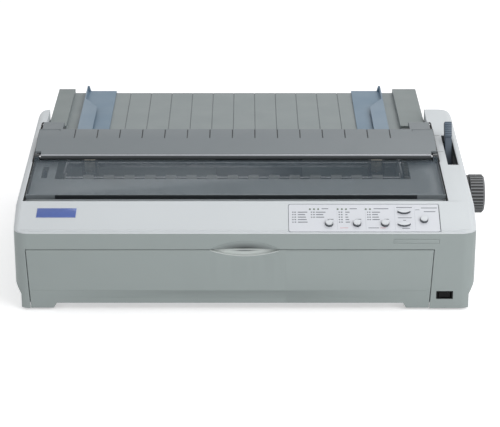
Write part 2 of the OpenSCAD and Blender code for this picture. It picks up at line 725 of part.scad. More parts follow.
module top_cover() {
    x0 = cover_x0 + cover_gap;
    x1 = cover_x1 - cover_gap;
    knuckle_end = nose_y + nose_r + 2.5;
    color([0.53, 0.56, 0.58]) difference() {
        union() {
            // top of the hump and its back edge
            yz_prism([hump_line(0)[0], hump_line(0)[1], hump_line(0)[2],
                [hump_y2, hump_z2 - 12], [hump_y2 - cover_t, hump_z2 - 12],
                    [hump_y2 - cover_t, hump_z2 - cover_t],
                [hump_y1, hump_z1 - cover_t], [nose_y, nose_z + nose_r - cover_t - 1]], x0, x1);
            // side skirts with the ears behind them
            for (x = [x0, x1 - cover_t]) yz_prism([
                [knuckle_end, deck_z(knuckle_end) - skirt_drop],
                [knuckle_end, nose_z + nose_r + 1], [hump_y1, hump_z1], [hump_y2, hump_z2],
                [hump_y2 + 12, deck_z(hump_y2 + 12) + ear_lift + 1], [ear_pin_y, ear_pin_z + barrel_r],
                [ear_pin_y, deck_z(ear_pin_y) - skirt_drop]
            ], x, x + cover_t);
            for (x = [x0, x1 - ear_w]) {
                yz_prism([[hump_y2 - cover_t, hump_z2], [hump_y2, hump_z2],
                    [hump_y2 + 12, deck_z(hump_y2 + 12) + ear_lift + 1], [ear_pin_y, ear_pin_z + barrel_r],
                    [ear_pin_y, ear_pin_z + barrel_r - cover_t],
                    [hump_y2 + 12, deck_z(hump_y2 + 12) + ear_lift + 1 - cover_t],
                    [hump_y2 - cover_t, hump_z2 - cover_t - 1]], x, x + ear_w);
                x_cyl(barrel_r, x, x + ear_w, [ear_pin_y, ear_pin_z]);
            }
            x_cyl(nose_r, nose_x0, nose_x1, [nose_y, nose_z]);
        }
        // room for the window flap's knuckles
        box(x0 - 1, nose_x0, nose_y - 20, knuckle_end, 120, 220);
        box(nose_x1, x1 + 1, nose_y - 20, knuckle_end, 120, 220);
        for (i = [0:groove_count - 1]) translate([cover_x0 + groove_in + i*groove_pitch, 0, 0])
            yz_prism([[hump_y1, hump_z1 - 0.8], [hump_y2 + 1, hump_z2 - 0.7],
                [hump_y2 + 1, hump_z2 + 2], [hump_y1, hump_z1 + 2]], -0.6, 0.6);
        x_cyl(ear_pin_r + run, x0 - 1, x0 + pin_len, [ear_pin_y, ear_pin_z]);
        x_cyl(ear_pin_r + run, x1 - pin_len, x1 + 1, [ear_pin_y, ear_pin_z]);
        x_cyl(pin_r, nose_x0 - 1, nose_x0 + 8, [nose_y, nose_z]);
        x_cyl(pin_r, nose_x1 - 8, nose_x1 + 1, [nose_y, nose_z]);
    }
}

module flap_pins() {
    color([0.75, 0.75, 0.78]) {
        x_cyl(pin_r, cover_x0 + cover_gap + 1, nose_x0 + 8, [nose_y, nose_z]);
        x_cyl(pin_r, nose_x1 - 8, cover_x1 - cover_gap - 1, [nose_y, nose_z]);
    }
}

module window_flap() {
    x0 = cover_x0 + cover_gap;
    x1 = cover_x1 - cover_gap;
    back = nose_y - nose_r - 0.8;
    color([0.35, 0.38, 0.41, 0.6]) {
        above = -flap_lift;
        below_deck(above, cover_t, x0, x1, flap_y0, back);
        // front lip and side ribs
        below_deck(above - 0.8, cover_t + 4, x0, x1, flap_y0, flap_y0 + 2.5);
        for (x = [x0, x1 - 2.2]) below_deck(above, cover_t + 3.5, x, x + 2.2, flap_y0, back);
        for (x = [x0, x1 - knuckle_w]) difference() {
            union() {
                x_cyl(nose_r, x, x + knuckle_w, [nose_y, nose_z]);
                yz_prism([[back - 6, deck_z(back - 6) + flap_lift], [nose_y - 1, nose_z + nose_r - 0.4],
                    [nose_y - 1, nose_z - nose_r + 0.4],
                        [back - 6, deck_z(back - 6) + flap_lift - cover_t]],
                    x, x + knuckle_w);
            }
            x_cyl(pin_r + run, x - 1, x + knuckle_w + 1, [nose_y, nose_z]);
        }
    }
}

module sheet_tray() {
    color([0.55, 0.58, 0.59]) {
        on_tray() difference() {
            union() {
                translate([bed_x0, -tray_lip, -tray_t])
                    cube([bed_x1 - bed_x0, tray_len + tray_lip, tray_t]);
                for (x = [[tray_x0, bed_x0], [bed_x1, tray_x1]]) translate([x[0], -block_lip, -tray_t])
                    cube([x[1] - x[0], tray_len + block_lip, tray_t + block_h]);
            }
            // the end blocks are hollow below
            translate([tray_x0 + 2, 8, -tray_t - 1])
                cube([bed_x0 - tray_x0 - 4, tray_len - 10, block_h + 1]);
            translate([bed_x1 + 2, 8, -tray_t - 1])
                cube([tray_x1 - bed_x1 - 4, tray_len - 10, block_h + 1]);
            for (x = [bed_x0 + 22:groove_pitch:bed_x1 - 10])
                translate([x - 0.5, -tray_lip - 1, -0.7]) cube([1, tray_len + tray_lip + 2, 2]);
        }
        // hinge arms
        for (x = [tray_x0 + 1, tray_x1 - 1 - arm_w]) difference() {
            union() {
                x_cyl(arm_r, x, x + arm_w, [tray_pin_y, tray_pin_z]);
                yz_prism([[tray_pin_y, tray_pin_z - arm_r + 0.5], [tray_y0 + 5, tray_z0 + 1],
                    [tray_y0 + 5, tray_z0 + 7],
                    [tray_pin_y, tray_pin_z + arm_r - 0.5]], x, x + arm_w);
            }
            x_cyl(tray_pin_r + run, x - 1, x + arm_w + 1, [tray_pin_y, tray_pin_z]);
        }
    }
}
arm_w = 8;
arm_r = 5;

// An edge guide with its outer wall at x = 0 and its foot towards +X
module edge_guide() {
    color([0.50, 0.56, 0.63]) on_tray() {
        for (size = [[fence_w, fence_t], [fence_t, fence_h]]) translate([0, -fence_lip, slip])
            cube([size[0], tray_len + fence_lip + fence_over, size[1]]);
        translate([0, tray_len + slip, -tray_t]) cube([fence_w, fence_over - slip, tray_t + 1]);
        translate([0, 0, slip + fence_h - fence_t]) linear_extrude(fence_t)
            polygon([[0, -fence_lip], [flange_in, -fence_lip], [flange_in, tray_len*0.41],
                [0, tray_len*0.7]]);
    }
}

module edge_guide_left() {
    translate([bed_x0 + fence_in, 0, 0]) edge_guide();
}

module edge_guide_right() {
    translate([bed_x1 - fence_in, 0, 0]) mirror([1, 0, 0]) edge_guide();
}

// ---------- levers ----------

module lever_blade(c, lean, length, hub, w, depth0, depth1) {
    translate([-w/2, c[0], c[1]]) rotate([-lean, 0, 0]) difference() {
        union() {
            rotate([0, 90, 0]) cylinder(r = hub, h = w);
            translate([0, -depth0/2, 0]) cube([w, depth0, length - 22]);
            translate([0, -depth1/2, length - 22.1]) cube([w, depth1, 22.1]);
        }
        translate([-1, 0, 0]) rotate([0, 90, 0]) cylinder(r = hub/2 + run, h = w + 2);
    }
}

module release_lever() {
    color([0.30, 0.36, 0.42]) translate([lever_x, 0, 0]) {
        lever_blade(lever_pivot, lever_lean, lever_len, lever_shaft_r*2, lever_w, 9, 11);
    }
}

gap_stud_r = 3;
module thickness_lever() {
    color([0.30, 0.36, 0.42]) translate([gap_x, 0, 0])
        lever_blade(gap_pivot, 0, gap_len, gap_stud_r*2, 4, 6, 8);
}

// ---------- frame of the mechanism ----------

frame_y0 = guide_y - 36;
frame_y1 = tractor_c[0] + 22;
function frame_outline() = [
    [frame_y0, base_z + pan_t], [frame_y1, base_z + pan_t], [frame_y1, tractor_c[1] - 30],
    [tractor_c[0] + 12, tractor_c[1] + 12], [tractor_c[0] - 12, tractor_c[1] + 12],
    [bail_pivot[0] + 12, bail_pivot[1] + 8], [bail_pivot[0] - 8, bail_pivot[1] + 8],
    [platen_y, platen_z + 20], [gap_pivot[0] - 8, gap_pivot[1] + 8], [frame_y0, guide_z + 14]
];

module frame_plate(x0) {
    difference() {
        yz_prism(frame_outline(), x0, x0 + frame_t);
        x_cyl(bush_r, x0 - 1, x0 + frame_t + 1, platen_c);
        x_cyl(guide_r, x0 - 1, x0 + frame_t + 1, [guide_y, guide_z]);
        x_cyl(journal_r + run, x0 - 1, x0 + frame_t + 1, tractor_c);
        x_cyl(rail_r, x0 - 1, x0 + frame_t + 1, rail_c);
        x_cyl(bail_pin_r + run, x0 - 1, x0 + frame_t + 1, bail_pivot);
        x_cyl(4, x0 - 1, x0 + frame_t + 1, pin_c);
    }
}
journal_r = 4;
bail_pin_r = 2.5;
stud_r = 3;
flange_w = 14;

module side_frame_left() {
    color([0.70, 0.72, 0.74]) {
        frame_plate(frame_x0 - frame_t);
        box(frame_x0 - flange_w, frame_x0, frame_y0, frame_y1, base_z + pan_t, base_z + pan_t + frame_t);
        x_cyl(gap_stud_r, gap_x - 4, frame_x0 - frame_t, gap_pivot);
    }
}

module side_frame_right() {
    color([0.70, 0.72, 0.74]) {
        frame_plate(frame_x1);
        box(frame_x1, frame_x1 + flange_w, frame_y0, frame_y1, base_z + pan_t, base_z + pan_t + frame_t);
        x_cyl(stud_r, frame_x1 + frame_t, gear_x2 + gear_w + 2, red_c);
        x_cyl(stud_r, frame_x1 + frame_t, gear_x + gear_w + 2, idler_c);
    }
}

rail_ahead = 34;
rail_y = guide_y - rail_ahead;
rail_top = guide_z + 12;
idler_stud_r = 2.5;
module cross_rail() {
    color([0.66, 0.68, 0.70]) {
        box(frame_x0, frame_x1, rail_y, rail_y + frame_t, belt_z - 10, rail_top);
        box(frame_x0, frame_x1, rail_y - 8, rail_y + frame_t, belt_z - 12, belt_z - 10);
        // bracket and stud of the idler pulley
        box(pulley_x1 - 12, pulley_x1 + 12, rail_y, belt_y + 10, belt_z - 6, belt_z - 4);
        z_cyl(idler_stud_r, pulley_x1, belt_y, belt_z - 5, belt_z + belt_h + 3);
    }
}

module guide_shaft() {
    color([0.80, 0.81, 0.83])
        x_cyl(guide_r, frame_x0 - frame_t, frame_x1 + frame_t, [guide_y, guide_z]);
}

module tractor_rail() {
    color([0.80, 0.81, 0.83]) x_cyl(rail_r, frame_x0 - frame_t, frame_x1 + frame_t, rail_c);
}

module platen_bushes() {
    color([0.85, 0.84, 0.78]) for (x = [frame_x0, frame_x1 + frame_t]) {
        dir = x == frame_x0 ? 1 : -1;
        difference() {
            union() {
                x_cyl(bush_r, x - frame_t, x, platen_c);
                x_cyl(bush_r + 2, x == frame_x0 ? x : x - frame_t - bush_flange,
                    x == frame_x0 ? x + bush_flange : x - frame_t, platen_c);
            }
            x_cyl(shaft_r + run, x - frame_t - 3, x + 3, platen_c);
        }
    }
}

module paper_pan() {
    inner = platen_r + 1.2;
    color([0.25, 0.25, 0.26]) intersection() {
        difference() {
            x_cyl(inner + 1.2, frame_x0, frame_x1, platen_c);
            x_cyl(inner, frame_x0 - 1, frame_x1 + 1, platen_c);
        }
        box(frame_x0, frame_x1, platen_y - 40, platen_y + 40, platen_z - 40, platen_z - 10);
    }
}

module paper_bail() {
    count = 15;
    pitch = (frame_x1 - frame_x0 - 40)/count;
    arm = 2;
    color([0.62, 0.64, 0.66]) {
        x_cyl(2, frame_x0 + 1, frame_x1 - 1, bail_c);
        for (i = [0:count - 1]) x_cyl(bail_r, frame_x0 + 20 + (i + 0.25)*pitch,
            frame_x0 + 20 + (i + 0.75)*pitch, bail_c);
        for (x = [frame_x0 + 1, frame_x1 - 1 - arm]) {
            x_cyl(4, x, x + arm, bail_c);
            x_cyl(5, x, x + arm, bail_pivot);
            yz_prism([[bail_c[0], bail_c[1] + 4], [bail_pivot[0], bail_pivot[1] + 5],
                [bail_pivot[0], bail_pivot[1] - 5], [bail_c[0], bail_c[1] - 4]], x, x + arm);
        }
        x_cyl(bail_pin_r, frame_x0 - frame_t, frame_x0 + 2, bail_pivot);
        x_cyl(bail_pin_r, frame_x1 - 2, frame_x1 + frame_t, bail_pivot);
    }
}

// ---------- paper feed ----------

module platen_shaft() {
    color([0.78, 0.79, 0.81]) x_cyl(shaft_r, frame_x0 - 8, knob_x0 + knob_len - 5, platen_c);
}

module platen_roller() {
    color([0.10, 0.10, 0.11]) difference() {
        x_cyl(platen_r, roller_x0, roller_x1, platen_c);
        x_cyl(shaft_r, roller_x0 - 1, roller_x1 + 1, platen_c);
    }
}

module platen_gear() {
    color([0.90, 0.88, 0.80]) x_gear(platen_teeth, 0, platen_c, gear_x, gear_w, shaft_r);
}

grip_count = 36;
module platen_knob() {
    color([0.53, 0.51, 0.50]) difference() {
        union() {
            x_cyl(knob_r, knob_x0 + 4, knob_x0 + knob_len - 2, platen_c);
            x_cyl(knob_r - 2, knob_x0 + 2, knob_x0 + knob_len, platen_c);
            x_cyl(shaft_r + 5, knob_x0, knob_x0 + 3, platen_c);
        }
        x_cyl(shaft_r, knob_x0 - 1, knob_x0 + knob_len - 5, platen_c);
        for (i = [0:grip_count - 1]) {
            a = i*360/grip_count;
            x_cyl(1.3, knob_x0, knob_x0 + knob_len + 1, polar_yz(platen_c, knob_r + 0.4, a));
        }
    }
}

module reduction_gear() {
    color([0.90, 0.88, 0.80]) {
        x_gear(small_teeth, red_turn, red_c, gear_x, gear_x2 - gear_x, stud_r + run);
        x_gear(large_teeth, red_turn, red_c, gear_x2, gear_w, stud_r + run);
    }
}

motor_shaft_r = 2.5;
module feed_pinion() {
    color([0.80, 0.72, 0.45]) {
        x_gear(pinion_teeth, pin_turn, pin_c, gear_x2, gear_w, motor_shaft_r);
        x_cyl(motor_shaft_r, frame_x1 - 14, gear_x2 + gear_w + 2, pin_c);
    }
}

module idler_gear() {
    color([0.90, 0.88, 0.80]) x_gear(idler_teeth, idler_turn, idler_c, gear_x, gear_w, stud_r + run);
}

module tractor_shaft() {
    half = square_side/2;
    color([0.78, 0.79, 0.81]) {
        box(frame_x0, frame_x1, tractor_c[0] - half, tractor_c[0] + half, tractor_c[1] - half,
            tractor_c[1] + half);
        x_cyl(journal_r, frame_x0 - frame_t - 2, frame_x0, tractor_c);
        x_cyl(journal_r, frame_x1, gear_x + gear_w + 2, tractor_c);
    }
    color([0.90, 0.88, 0.80]) x_gear(tractor_teeth, tractor_turn, tractor_c, gear_x, gear_w, journal_r);
}

hub_r = 6;
tractor_out = tractor_w/2;
module tractor_body(x) {
    color([0.55, 0.58, 0.60]) difference() {
        union() {
            for (side = [-tractor_out, tractor_out - 3]) yz_prism([
                [tractor_c[0] - 13, tractor_c[1] - 6], [tractor_c[0] - 13, tractor_c[1] + 6],
                [tractor_c[0] - 8, tractor_c[1] + 10], [tractor_c[0] + 8, tractor_c[1] + 10],
                [rail_c[0] + 8, rail_c[1] + 8], [rail_c[0] + 6, rail_c[1] - 8],
                    [rail_c[0] - 10, rail_c[1] - 8]
            ], x + side, x + side + 3);
            box(x - tractor_out, x + tractor_out, rail_c[0] - 8, rail_c[0] + 6, rail_c[1] - 8,
                rail_c[1] + 6);
        }
        x_cyl(rail_r + run, x - 20, x + 20, rail_c);
        x_cyl(hub_r + run, x - 20, x + 20, tractor_c);
    }
}

module sprocket(x) {
    half = square_side/2 + 0.1;
    color([0.88, 0.86, 0.80]) difference() {
        union() {
            x_cyl(hub_r, x - tractor_out, x + tractor_out, tractor_c);
            x_cyl(sprocket_r, x - tractor_out + 3.4, x + tractor_out - 3.4, tractor_c);
            for (a = [0:45:359]) translate([x, tractor_c[0], tractor_c[1]]) rotate([a, 0, 0])
                translate([0, 0, sprocket_r - 1.5]) cylinder(r = 1.7, h = 4);
        }
        box(x - 20, x + 20, tractor_c[0] - half, tractor_c[0] + half, tractor_c[1] - half,
            tractor_c[1] + half);
    }
}

module tractor_left() { tractor_body(frame_x0 + tractor_in); }
module tractor_right() { tractor_body(frame_x1 - tractor_in); }
module sprocket_left() { sprocket(frame_x0 + tractor_in); }
module sprocket_right() { sprocket(frame_x1 - tractor_in); }

// ---------- carriage ----------

belt_run = belt_y + pulley_r + 0.1;  // inner face of the belt's rear run
module carriage() {
    x0 = carriage_x - carriage_w/2;
    x1 = carriage_x + carriage_w/2;
    color([0.22, 0.23, 0.24]) difference() {
        union() {
            box(x0, x1, guide_y - 10, guide_y + 12, guide_z - 8, guide_z + 8);
            box(x0 + 10, x1 - 10, rail_y - 3.3, guide_y - 9, guide_z + 2, guide_z + 8);
            box(carriage_x - 12, carriage_x + 12, rail_y - 3.3, rail_y + frame_t + 3.3, guide_z + 2,
                rail_top + 6);
            box(carriage_x - 8, carriage_x + 8, belt_run - 3, guide_y - 9, belt_z - 4, guide_z);
        }
        x_cyl(guide_r + run, x0 - 1, x1 + 1, [guide_y, guide_z]);
        box(x0 - 1, x1 + 1, rail_y - slip, rail_y + frame_t + slip, belt_z - 10, rail_top + slip);
        box(x0, x1, belt_run - slip, belt_run + belt_t + slip, belt_z - 5, belt_z + belt_h + slip);
    }
}

head_y1 = platen_y - platen_r - 10;
head_h = 26;
fin_z = 12;                      // the cooling fins start this far up the head
module print_head() {
    half = head_w/2;
    z0 = guide_z + 8;
    color([0.30, 0.31, 0.33]) difference() {
        union() {
            box(carriage_x - half, carriage_x + half, guide_y - 6, head_y1, z0, z0 + head_h);
            box(carriage_x - 8, carriage_x + 8, head_y1 - 1, head_y1 + 5, z0 + 1, z0 + 16);
            box(carriage_x - 3, carriage_x + 3, head_y1 + 4, platen_y - platen_r - 0.8,
                platen_z - 4, platen_z + 5);
        }
        for (i = [0:5]) box(carriage_x - half + 3.2 + i*5, carriage_x - half + 5.6 + i*5,
            guide_y - 7, head_y1 + 1, z0 + fin_z, z0 + head_h + 1);
    }
}

module ribbon_cartridge() {
    outer = carriage_w/2 - 1;
    z0 = rail_top + 6;
    tip = platen_y - platen_r - 0.35;
    arm_z = guide_z + 8 + 2;
    color([0.09, 0.09, 0.10]) {
        box(carriage_x - outer, carriage_x + outer, rail_y - 2, guide_y - 8, z0, z0 + 12);
        for (x = [carriage_x - outer, carriage_x + outer - 6])
            box(x, x + 6, guide_y - 9, tip, arm_z, z0 + 8);
        box(carriage_x - outer, carriage_x + outer, tip - 0.3, tip, arm_z, z0 + 4);
    }
}

module pulley(x, r, bore, shaft_z0) {
    difference() {
        union() {
            z_cyl(r, x, belt_y, belt_z - 1, belt_z + belt_h + 1);
            z_cyl(r + 2, x, belt_y, belt_z - 2.2, belt_z - 0.3);
            z_cyl(r + 2, x, belt_y, belt_z + belt_h + 0.3, belt_z + belt_h + 1.8);
        }
        if (bore > 0) z_cyl(bore, x, belt_y, belt_z - 10, belt_z + belt_h + 10);
    }
    if (bore == 0) z_cyl(motor_shaft_r, x, belt_y, shaft_z0, belt_z);
}

module drive_pulley() {
    color([0.80, 0.72, 0.45]) pulley(pulley_x0, pulley_r, 0, belt_z - 20);
}

module idler_pulley() {
    color([0.85, 0.84, 0.78]) pulley(pulley_x1, pulley_r, idler_stud_r + run, 0);
}

module belt_loop(r, z0, z1) {
    z_cyl(r, pulley_x0, belt_y, z0, z1);
    z_cyl(r, pulley_x1, belt_y, z0, z1);
    box(pulley_x0, pulley_x1, belt_y - r, belt_y + r, z0, z1);
}

module timing_belt() {
    color([0.13, 0.13, 0.14]) difference() {
        belt_loop(pulley_r + 0.1 + belt_t, belt_z, belt_z + belt_h);
        belt_loop(pulley_r + 0.1, belt_z - 1, belt_z + belt_h + 1);
    }
}

module carriage_motor() {
    color([0.45, 0.46, 0.48]) difference() {
        union() {
            z_cyl(motor_r, pulley_x0, belt_y, base_z + pan_t, belt_z - 12 - slip);
            z_cyl(6, pulley_x0, belt_y, belt_z - 14, belt_z - 3.5);
        }
        z_cyl(motor_shaft_r + run, pulley_x0, belt_y, belt_z - 21, belt_z);
    }
}

module feed_motor() {
    color([0.45, 0.46, 0.48]) difference() {
        x_cyl(motor_r, frame_x1 - 36, frame_x1, pin_c);
        x_cyl(motor_shaft_r + run, frame_x1 - 15, frame_x1 + 1, pin_c);
    }
}

// ---------- electrics ----------

board_z = base_z + pan_t + 8;
board_w = 220;
board_d = 182;
module main_board() {
    x0 = port_x - board_w;
    x1 = port_x;
    y0 = body_d - 20 - board_d;
    y1 = body_d - 20;
    color([0.15, 0.42, 0.28]) {
        box(x0, x1, y0, y1, board_z, board_z + 1.6);
        for (x = [x0 + 8, x1 - 8], y = [y0 + 8, y1 - 8]) z_cyl(3, x, y, base_z + pan_t, board_z);
        box(x0 + 30, x0 + 62, y0 + 40, y0 + 72, board_z + 1.6, board_z + 4.4);
        box(x0 + 90, x0 + 130, y0 + 36, y0 + 52, board_z + 1.6, board_z + 5.6);
        box(x0 + 90, x0 + 130, y0 + 66, y0 + 82, board_z + 1.6, board_z + 5.6);
        box(x0 + 12, x0 + 82, y0 + 100, y0 + 112, board_z + 1.6, board_z + 22);
        for (i = [0:4]) z_cyl(5, x0 + 110 + i*16, y0 + 110, board_z + 1.6, board_z + 18);
    }
}

supply_in = 27;
supply_y1 = body_d - supply_in;
supply_w = 110;
supply_len = 125;
supply_h = 60;
module power_supply() {
    x0 = frame_x0 + 14;
    x1 = x0 + supply_w;
    color([0.62, 0.64, 0.62]) difference() {
        box(x0, x1, supply_y1 - supply_len, supply_y1, base_z + pan_t, supply_h);
        box(x0 + 1.5, x1 - 1.5, supply_y1 - supply_len + 1.5, supply_y1 - 1.5, base_z + pan_t + 1.5,
            supply_h - 1.5);
        for (i = [0:9]) box(x0 + 10 + i*9, x0 + 14 + i*9, supply_y1 - 90, supply_y1 - 40,
            supply_h - 10, supply_h + 10);
    }
}

module power_inlet() {
    color([0.12, 0.12, 0.13]) {
        difference() {
            box(inlet_x - 13.7, inlet_x + 13.7, supply_y1, body_d, inlet_z - 9.7, inlet_z + 9.7);
            box(inlet_x - 11, inlet_x + 11, body_d - 16, body_d + 1, inlet_z - 7, inlet_z + 7);
        }
        for (d = [[-7, -1], [0, 2.5], [7, -1]])
            box(inlet_x + d[0] - 1, inlet_x + d[0] + 1, body_d - 16.5, body_d - 4,
                inlet_z + d[1] - 2, inlet_z + d[1] + 2);
    }
}

module rear_ports() {
    plate_y = body_d - wall - 3.5;
    color([0.75, 0.76, 0.78]) {
        box(usb_x - 20, port_x + 40, plate_y, plate_y + 1.5, base_z + pan_t, port_z + 14);
        difference() {
            union() {
                box(port_x - 30, port_x + 30, plate_y, body_d - 0.3, port_z - 6, port_z + 6);
                box(usb_x - 5.8, usb_x + 5.8, plate_y, body_d - 0.3, port_z - 5.4, port_z + 5.4);
            }
            box(port_x - 27, port_x + 27, plate_y + 1.5, body_d, port_z - 4, port_z + 4);
            box(usb_x - 4.2, usb_x + 4.2, plate_y + 1.5, body_d, port_z - 3.8, port_z + 3.8);
        }
        box(port_x - 24, port_x + 24, plate_y, body_d - 2, port_z - 1, port_z + 1);
    }
}

place() lower_case();
place() upper_case();
place() base_pan();
place() rubber_feet();
place() base_screws();
place() panel_plate();
place() panel_lamps();
place() badge_plate();
place() side_frame_left();
place() side_frame_right();
place() cross_rail();
place() guide_shaft();
place() platen_bushes();
place() paper_pan();
place() paper_bail();
place() carriage_motor();
place() feed_motor();
place() timing_belt();
place() main_board();
place() power_supply();
place() power_inlet();
place() rear_ports();
place() switch_body();
place() tractor_rail();
place() panel_board();
place() hinge_pins();
place() front_cover();
place() top_cover();
place() flap_pins();
place() window_flap();
place() sheet_tray();
place() edge_guide_left();
place() edge_guide_right();
place() release_lever();
place() thickness_lever();
place() platen_shaft();
place() platen_roller();
place() platen_knob();
place() platen_gear();
place() reduction_gear();
place() feed_pinion();
place() idler_gear();
place() tractor_shaft();
place() carriage();
place() print_head();
place() ribbon_cartridge();
place() drive_pulley();
place() idler_pulley();
place() button_eject();
place() button_pause();
place() button_font();
place() button_feed_up();
place() button_feed_down();
place() button_load();
place() power_rocker();
place() tractor_left();
place() tractor_right();
place() sprocket_left();
place() sprocket_right();
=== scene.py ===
# %% [markdown]
# # A wide dot matrix printer, dressed for a photograph
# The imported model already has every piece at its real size. This lesson gives each piece its
# finish: soft edges on the mouldings, grained plastic, a smoked window, a printed panel, a ribbed
# knob, and a plain studio round it. Every piece keeps its place and size, apart from the two paper
# guides, which are drawn further forward, so that they run on under the cover.

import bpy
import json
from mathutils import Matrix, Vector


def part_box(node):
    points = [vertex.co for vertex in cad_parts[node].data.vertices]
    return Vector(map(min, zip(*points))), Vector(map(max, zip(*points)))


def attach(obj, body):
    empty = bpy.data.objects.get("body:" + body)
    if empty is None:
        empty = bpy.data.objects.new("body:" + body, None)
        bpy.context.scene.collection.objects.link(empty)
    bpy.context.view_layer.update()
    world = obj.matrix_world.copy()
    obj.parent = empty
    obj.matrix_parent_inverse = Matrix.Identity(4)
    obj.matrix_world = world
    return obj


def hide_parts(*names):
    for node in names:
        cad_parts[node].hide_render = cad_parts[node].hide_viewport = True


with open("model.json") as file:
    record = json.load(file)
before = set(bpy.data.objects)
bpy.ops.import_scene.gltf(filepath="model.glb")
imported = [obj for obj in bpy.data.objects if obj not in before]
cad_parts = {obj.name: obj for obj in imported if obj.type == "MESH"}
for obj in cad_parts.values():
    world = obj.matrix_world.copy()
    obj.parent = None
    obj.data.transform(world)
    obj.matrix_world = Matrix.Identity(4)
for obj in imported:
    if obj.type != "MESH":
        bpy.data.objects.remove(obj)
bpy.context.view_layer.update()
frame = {"nodes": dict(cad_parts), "record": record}

# %% [markdown]
# Blender measures in metres, but a printer is drawn in millimetres, so one factor turns them round.
# Each piece has to move with the body that carries it, and the record says which node is on which
# body and which material slot it has.

# %% Units and the maps from node to body and slot
import json
from contextlib import contextmanager
from math import atan2, pi, radians, sqrt

import bmesh
import bpy
from mathutils import Matrix, Vector
from mathutils.bvhtree import BVHTree

MM = 0.001
groups = frame["record"]["behaviour"]["bodies"]
body_of_node = {node: body for body, members in groups.items() for node in members}
slot_of_node = {part["node"]: part["material_slot"] for part in frame["record"]["subparts"]}

# %% [markdown]
# Three drawing places keep the numbers readable. The first has X = 0 on the middle of the case,
# Y = 0 on its front face and Z = 0 on the table. The second lies on the sloping control band, and
# the third on the top face of the sheet tray: in both, X runs across, Y up the slope, and Z stands
# on it.

# %% Drawing places
case_low, case_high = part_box("lower_case")
CASE_MIDDLE_X = (case_low.x + case_high.x) / 2
CASE_FRONT_Y = case_low.y
HALF_W = (case_high.x - case_low.x) / 2 / MM
SEAM_Z = 109                  # joint between the grey lower case and the pale upper case
BAND_RISE, BAND_RUN = 28, 49
DECK_RISE = 0.11217           # the deck and the paper cover climb this much in each millimetre
TRAY_Y, TRAY_Z, TRAY_SLOPE = 331, 151.5, radians(3.3)

on_case = Matrix.Translation((CASE_MIDDLE_X, CASE_FRONT_Y, 0))


def tilted_place(x, y, z, angle):
    """A drawing place at a spot of the case in millimetres, turned about X."""
    return on_case @ Matrix.Translation((x * MM, y * MM, z * MM)) @ Matrix.Rotation(angle, 4, "X")


def deck_z(y):
    """Height in millimetres of the sloping deck at a distance behind the front face."""
    return SEAM_Z + BAND_RISE + (y - BAND_RUN) * DECK_RISE


on_band = tilted_place(0, 0, SEAM_Z, atan2(BAND_RISE, BAND_RUN))
on_tray = tilted_place(0, TRAY_Y, TRAY_Z, TRAY_SLOPE)
to_case, to_tray = on_case.inverted(), on_tray.inverted()
print("half width of the case, mm:", round(HALF_W, 2))

# %% [markdown]
# The camera stands where the photographer stood: in front of the machine, well back, looking down
# at about twenty degrees through a long lens. The lens is given for a sensor 36 mm wide, and a
# small shift puts the machine's middle a little left of the picture's.

# %% Camera
CAMERA_BACK = 2134.5 * MM     # distance in front of the case
CAMERA_UP = 935.5 * MM
CAMERA_PITCH = radians(20.5)

camera_data = bpy.data.cameras.new("camera")
camera_data.sensor_width = 36
camera_data.lens = 126
camera_data.shift_x = 0.01
camera_data.clip_end = 50
camera = bpy.data.objects.new("camera", camera_data)
camera.location = (CASE_MIDDLE_X, CASE_FRONT_Y - CAMERA_BACK, CAMERA_UP)
camera.rotation_euler = (pi / 2 - CAMERA_PITCH, 0, 0)
bpy.context.scene.collection.objects.link(camera)
bpy.context.scene.camera = camera
print("camera at", [round(v, 3) for v in camera.location])

# %% [markdown]
# A material is a Principled shader with a little network in front of it. The network is nearly
# always the same: a noise on the object's own coordinates, and a ramp or a bump that carries it to
# one of the shader's inputs. So each of these gets a helper.

# %% Helpers for materials
def new_material(name):
    """A material, the tree it is made of, and its Principled shader."""
    material = bpy.data.materials.new(name)
    material.use_nodes = True
    tree = material.node_tree
    return material, tree, tree.nodes["Principled BSDF"]


def set_inputs(node, **inputs):
    """Sets a node's inputs by name; underscores stand for spaces."""
    for name, value in inputs.items():
        node.inputs[name.replace("_", " ")].default_value = value
    return node


def add_node(tree, kind, **inputs):
    """Adds a node and sets its inputs by name."""
    return set_inputs(tree.nodes.new(kind), **inputs)


def object_noise(tree, scale, detail):
    """Noise on the object's own coordinates, so it stays on the piece in every view."""
    place = tree.nodes.new("ShaderNodeTexCoord")
    noise = add_node(tree, "ShaderNodeTexNoise", Scale=scale, Detail=detail)
    tree.links.new(place.outputs["Object"], noise.inputs["Vector"])
    return noise


def ramp(tree, pattern, low, high, target, start=0.3, end=0.7):
    """Leads a pattern to an input as a ramp between two colours, or between two grey levels."""
    node = tree.nodes.new("ShaderNodeValToRGB")
    for stop, place, level in zip(node.color_ramp.elements, (start, end), (low, high)):
        stop.position = place
        stop.color = (*level, 1) if hasattr(level, "__len__") else (level, level, level, 1)
    tree.links.new(pattern.outputs["Fac"], node.inputs["Fac"])
    tree.links.new(node.outputs["Color"], target)


def bump(tree, pattern, shader, depth):
    """Turns a pattern into a bump on the shader's normal, its depth in millimetres."""
    node = add_node(tree, "ShaderNodeBump", Strength=1, Distance=depth * MM)
    tree.links.new(pattern.outputs["Fac"], node.inputs["Height"])
    tree.links.new(node.outputs["Normal"], shader.inputs["Normal"])


print("material helpers ready")

# %% [markdown]
# Case mouldings are textured plastic. The tool's surface is spark eroded, which leaves a grain of
# about half a millimetre, and the colour is never quite even: large soft clouds a few per cent
# lighter and darker, and slightly shinier where hands rub. Three noises do this. A photograph as a
# texture could do it too, but it would not follow the piece in every view.

# %% Moulded plastic
GRAIN_SIZE = 0.45             # millimetres
SHEEN = 0.06                  # the roughness is this much lower and higher in places


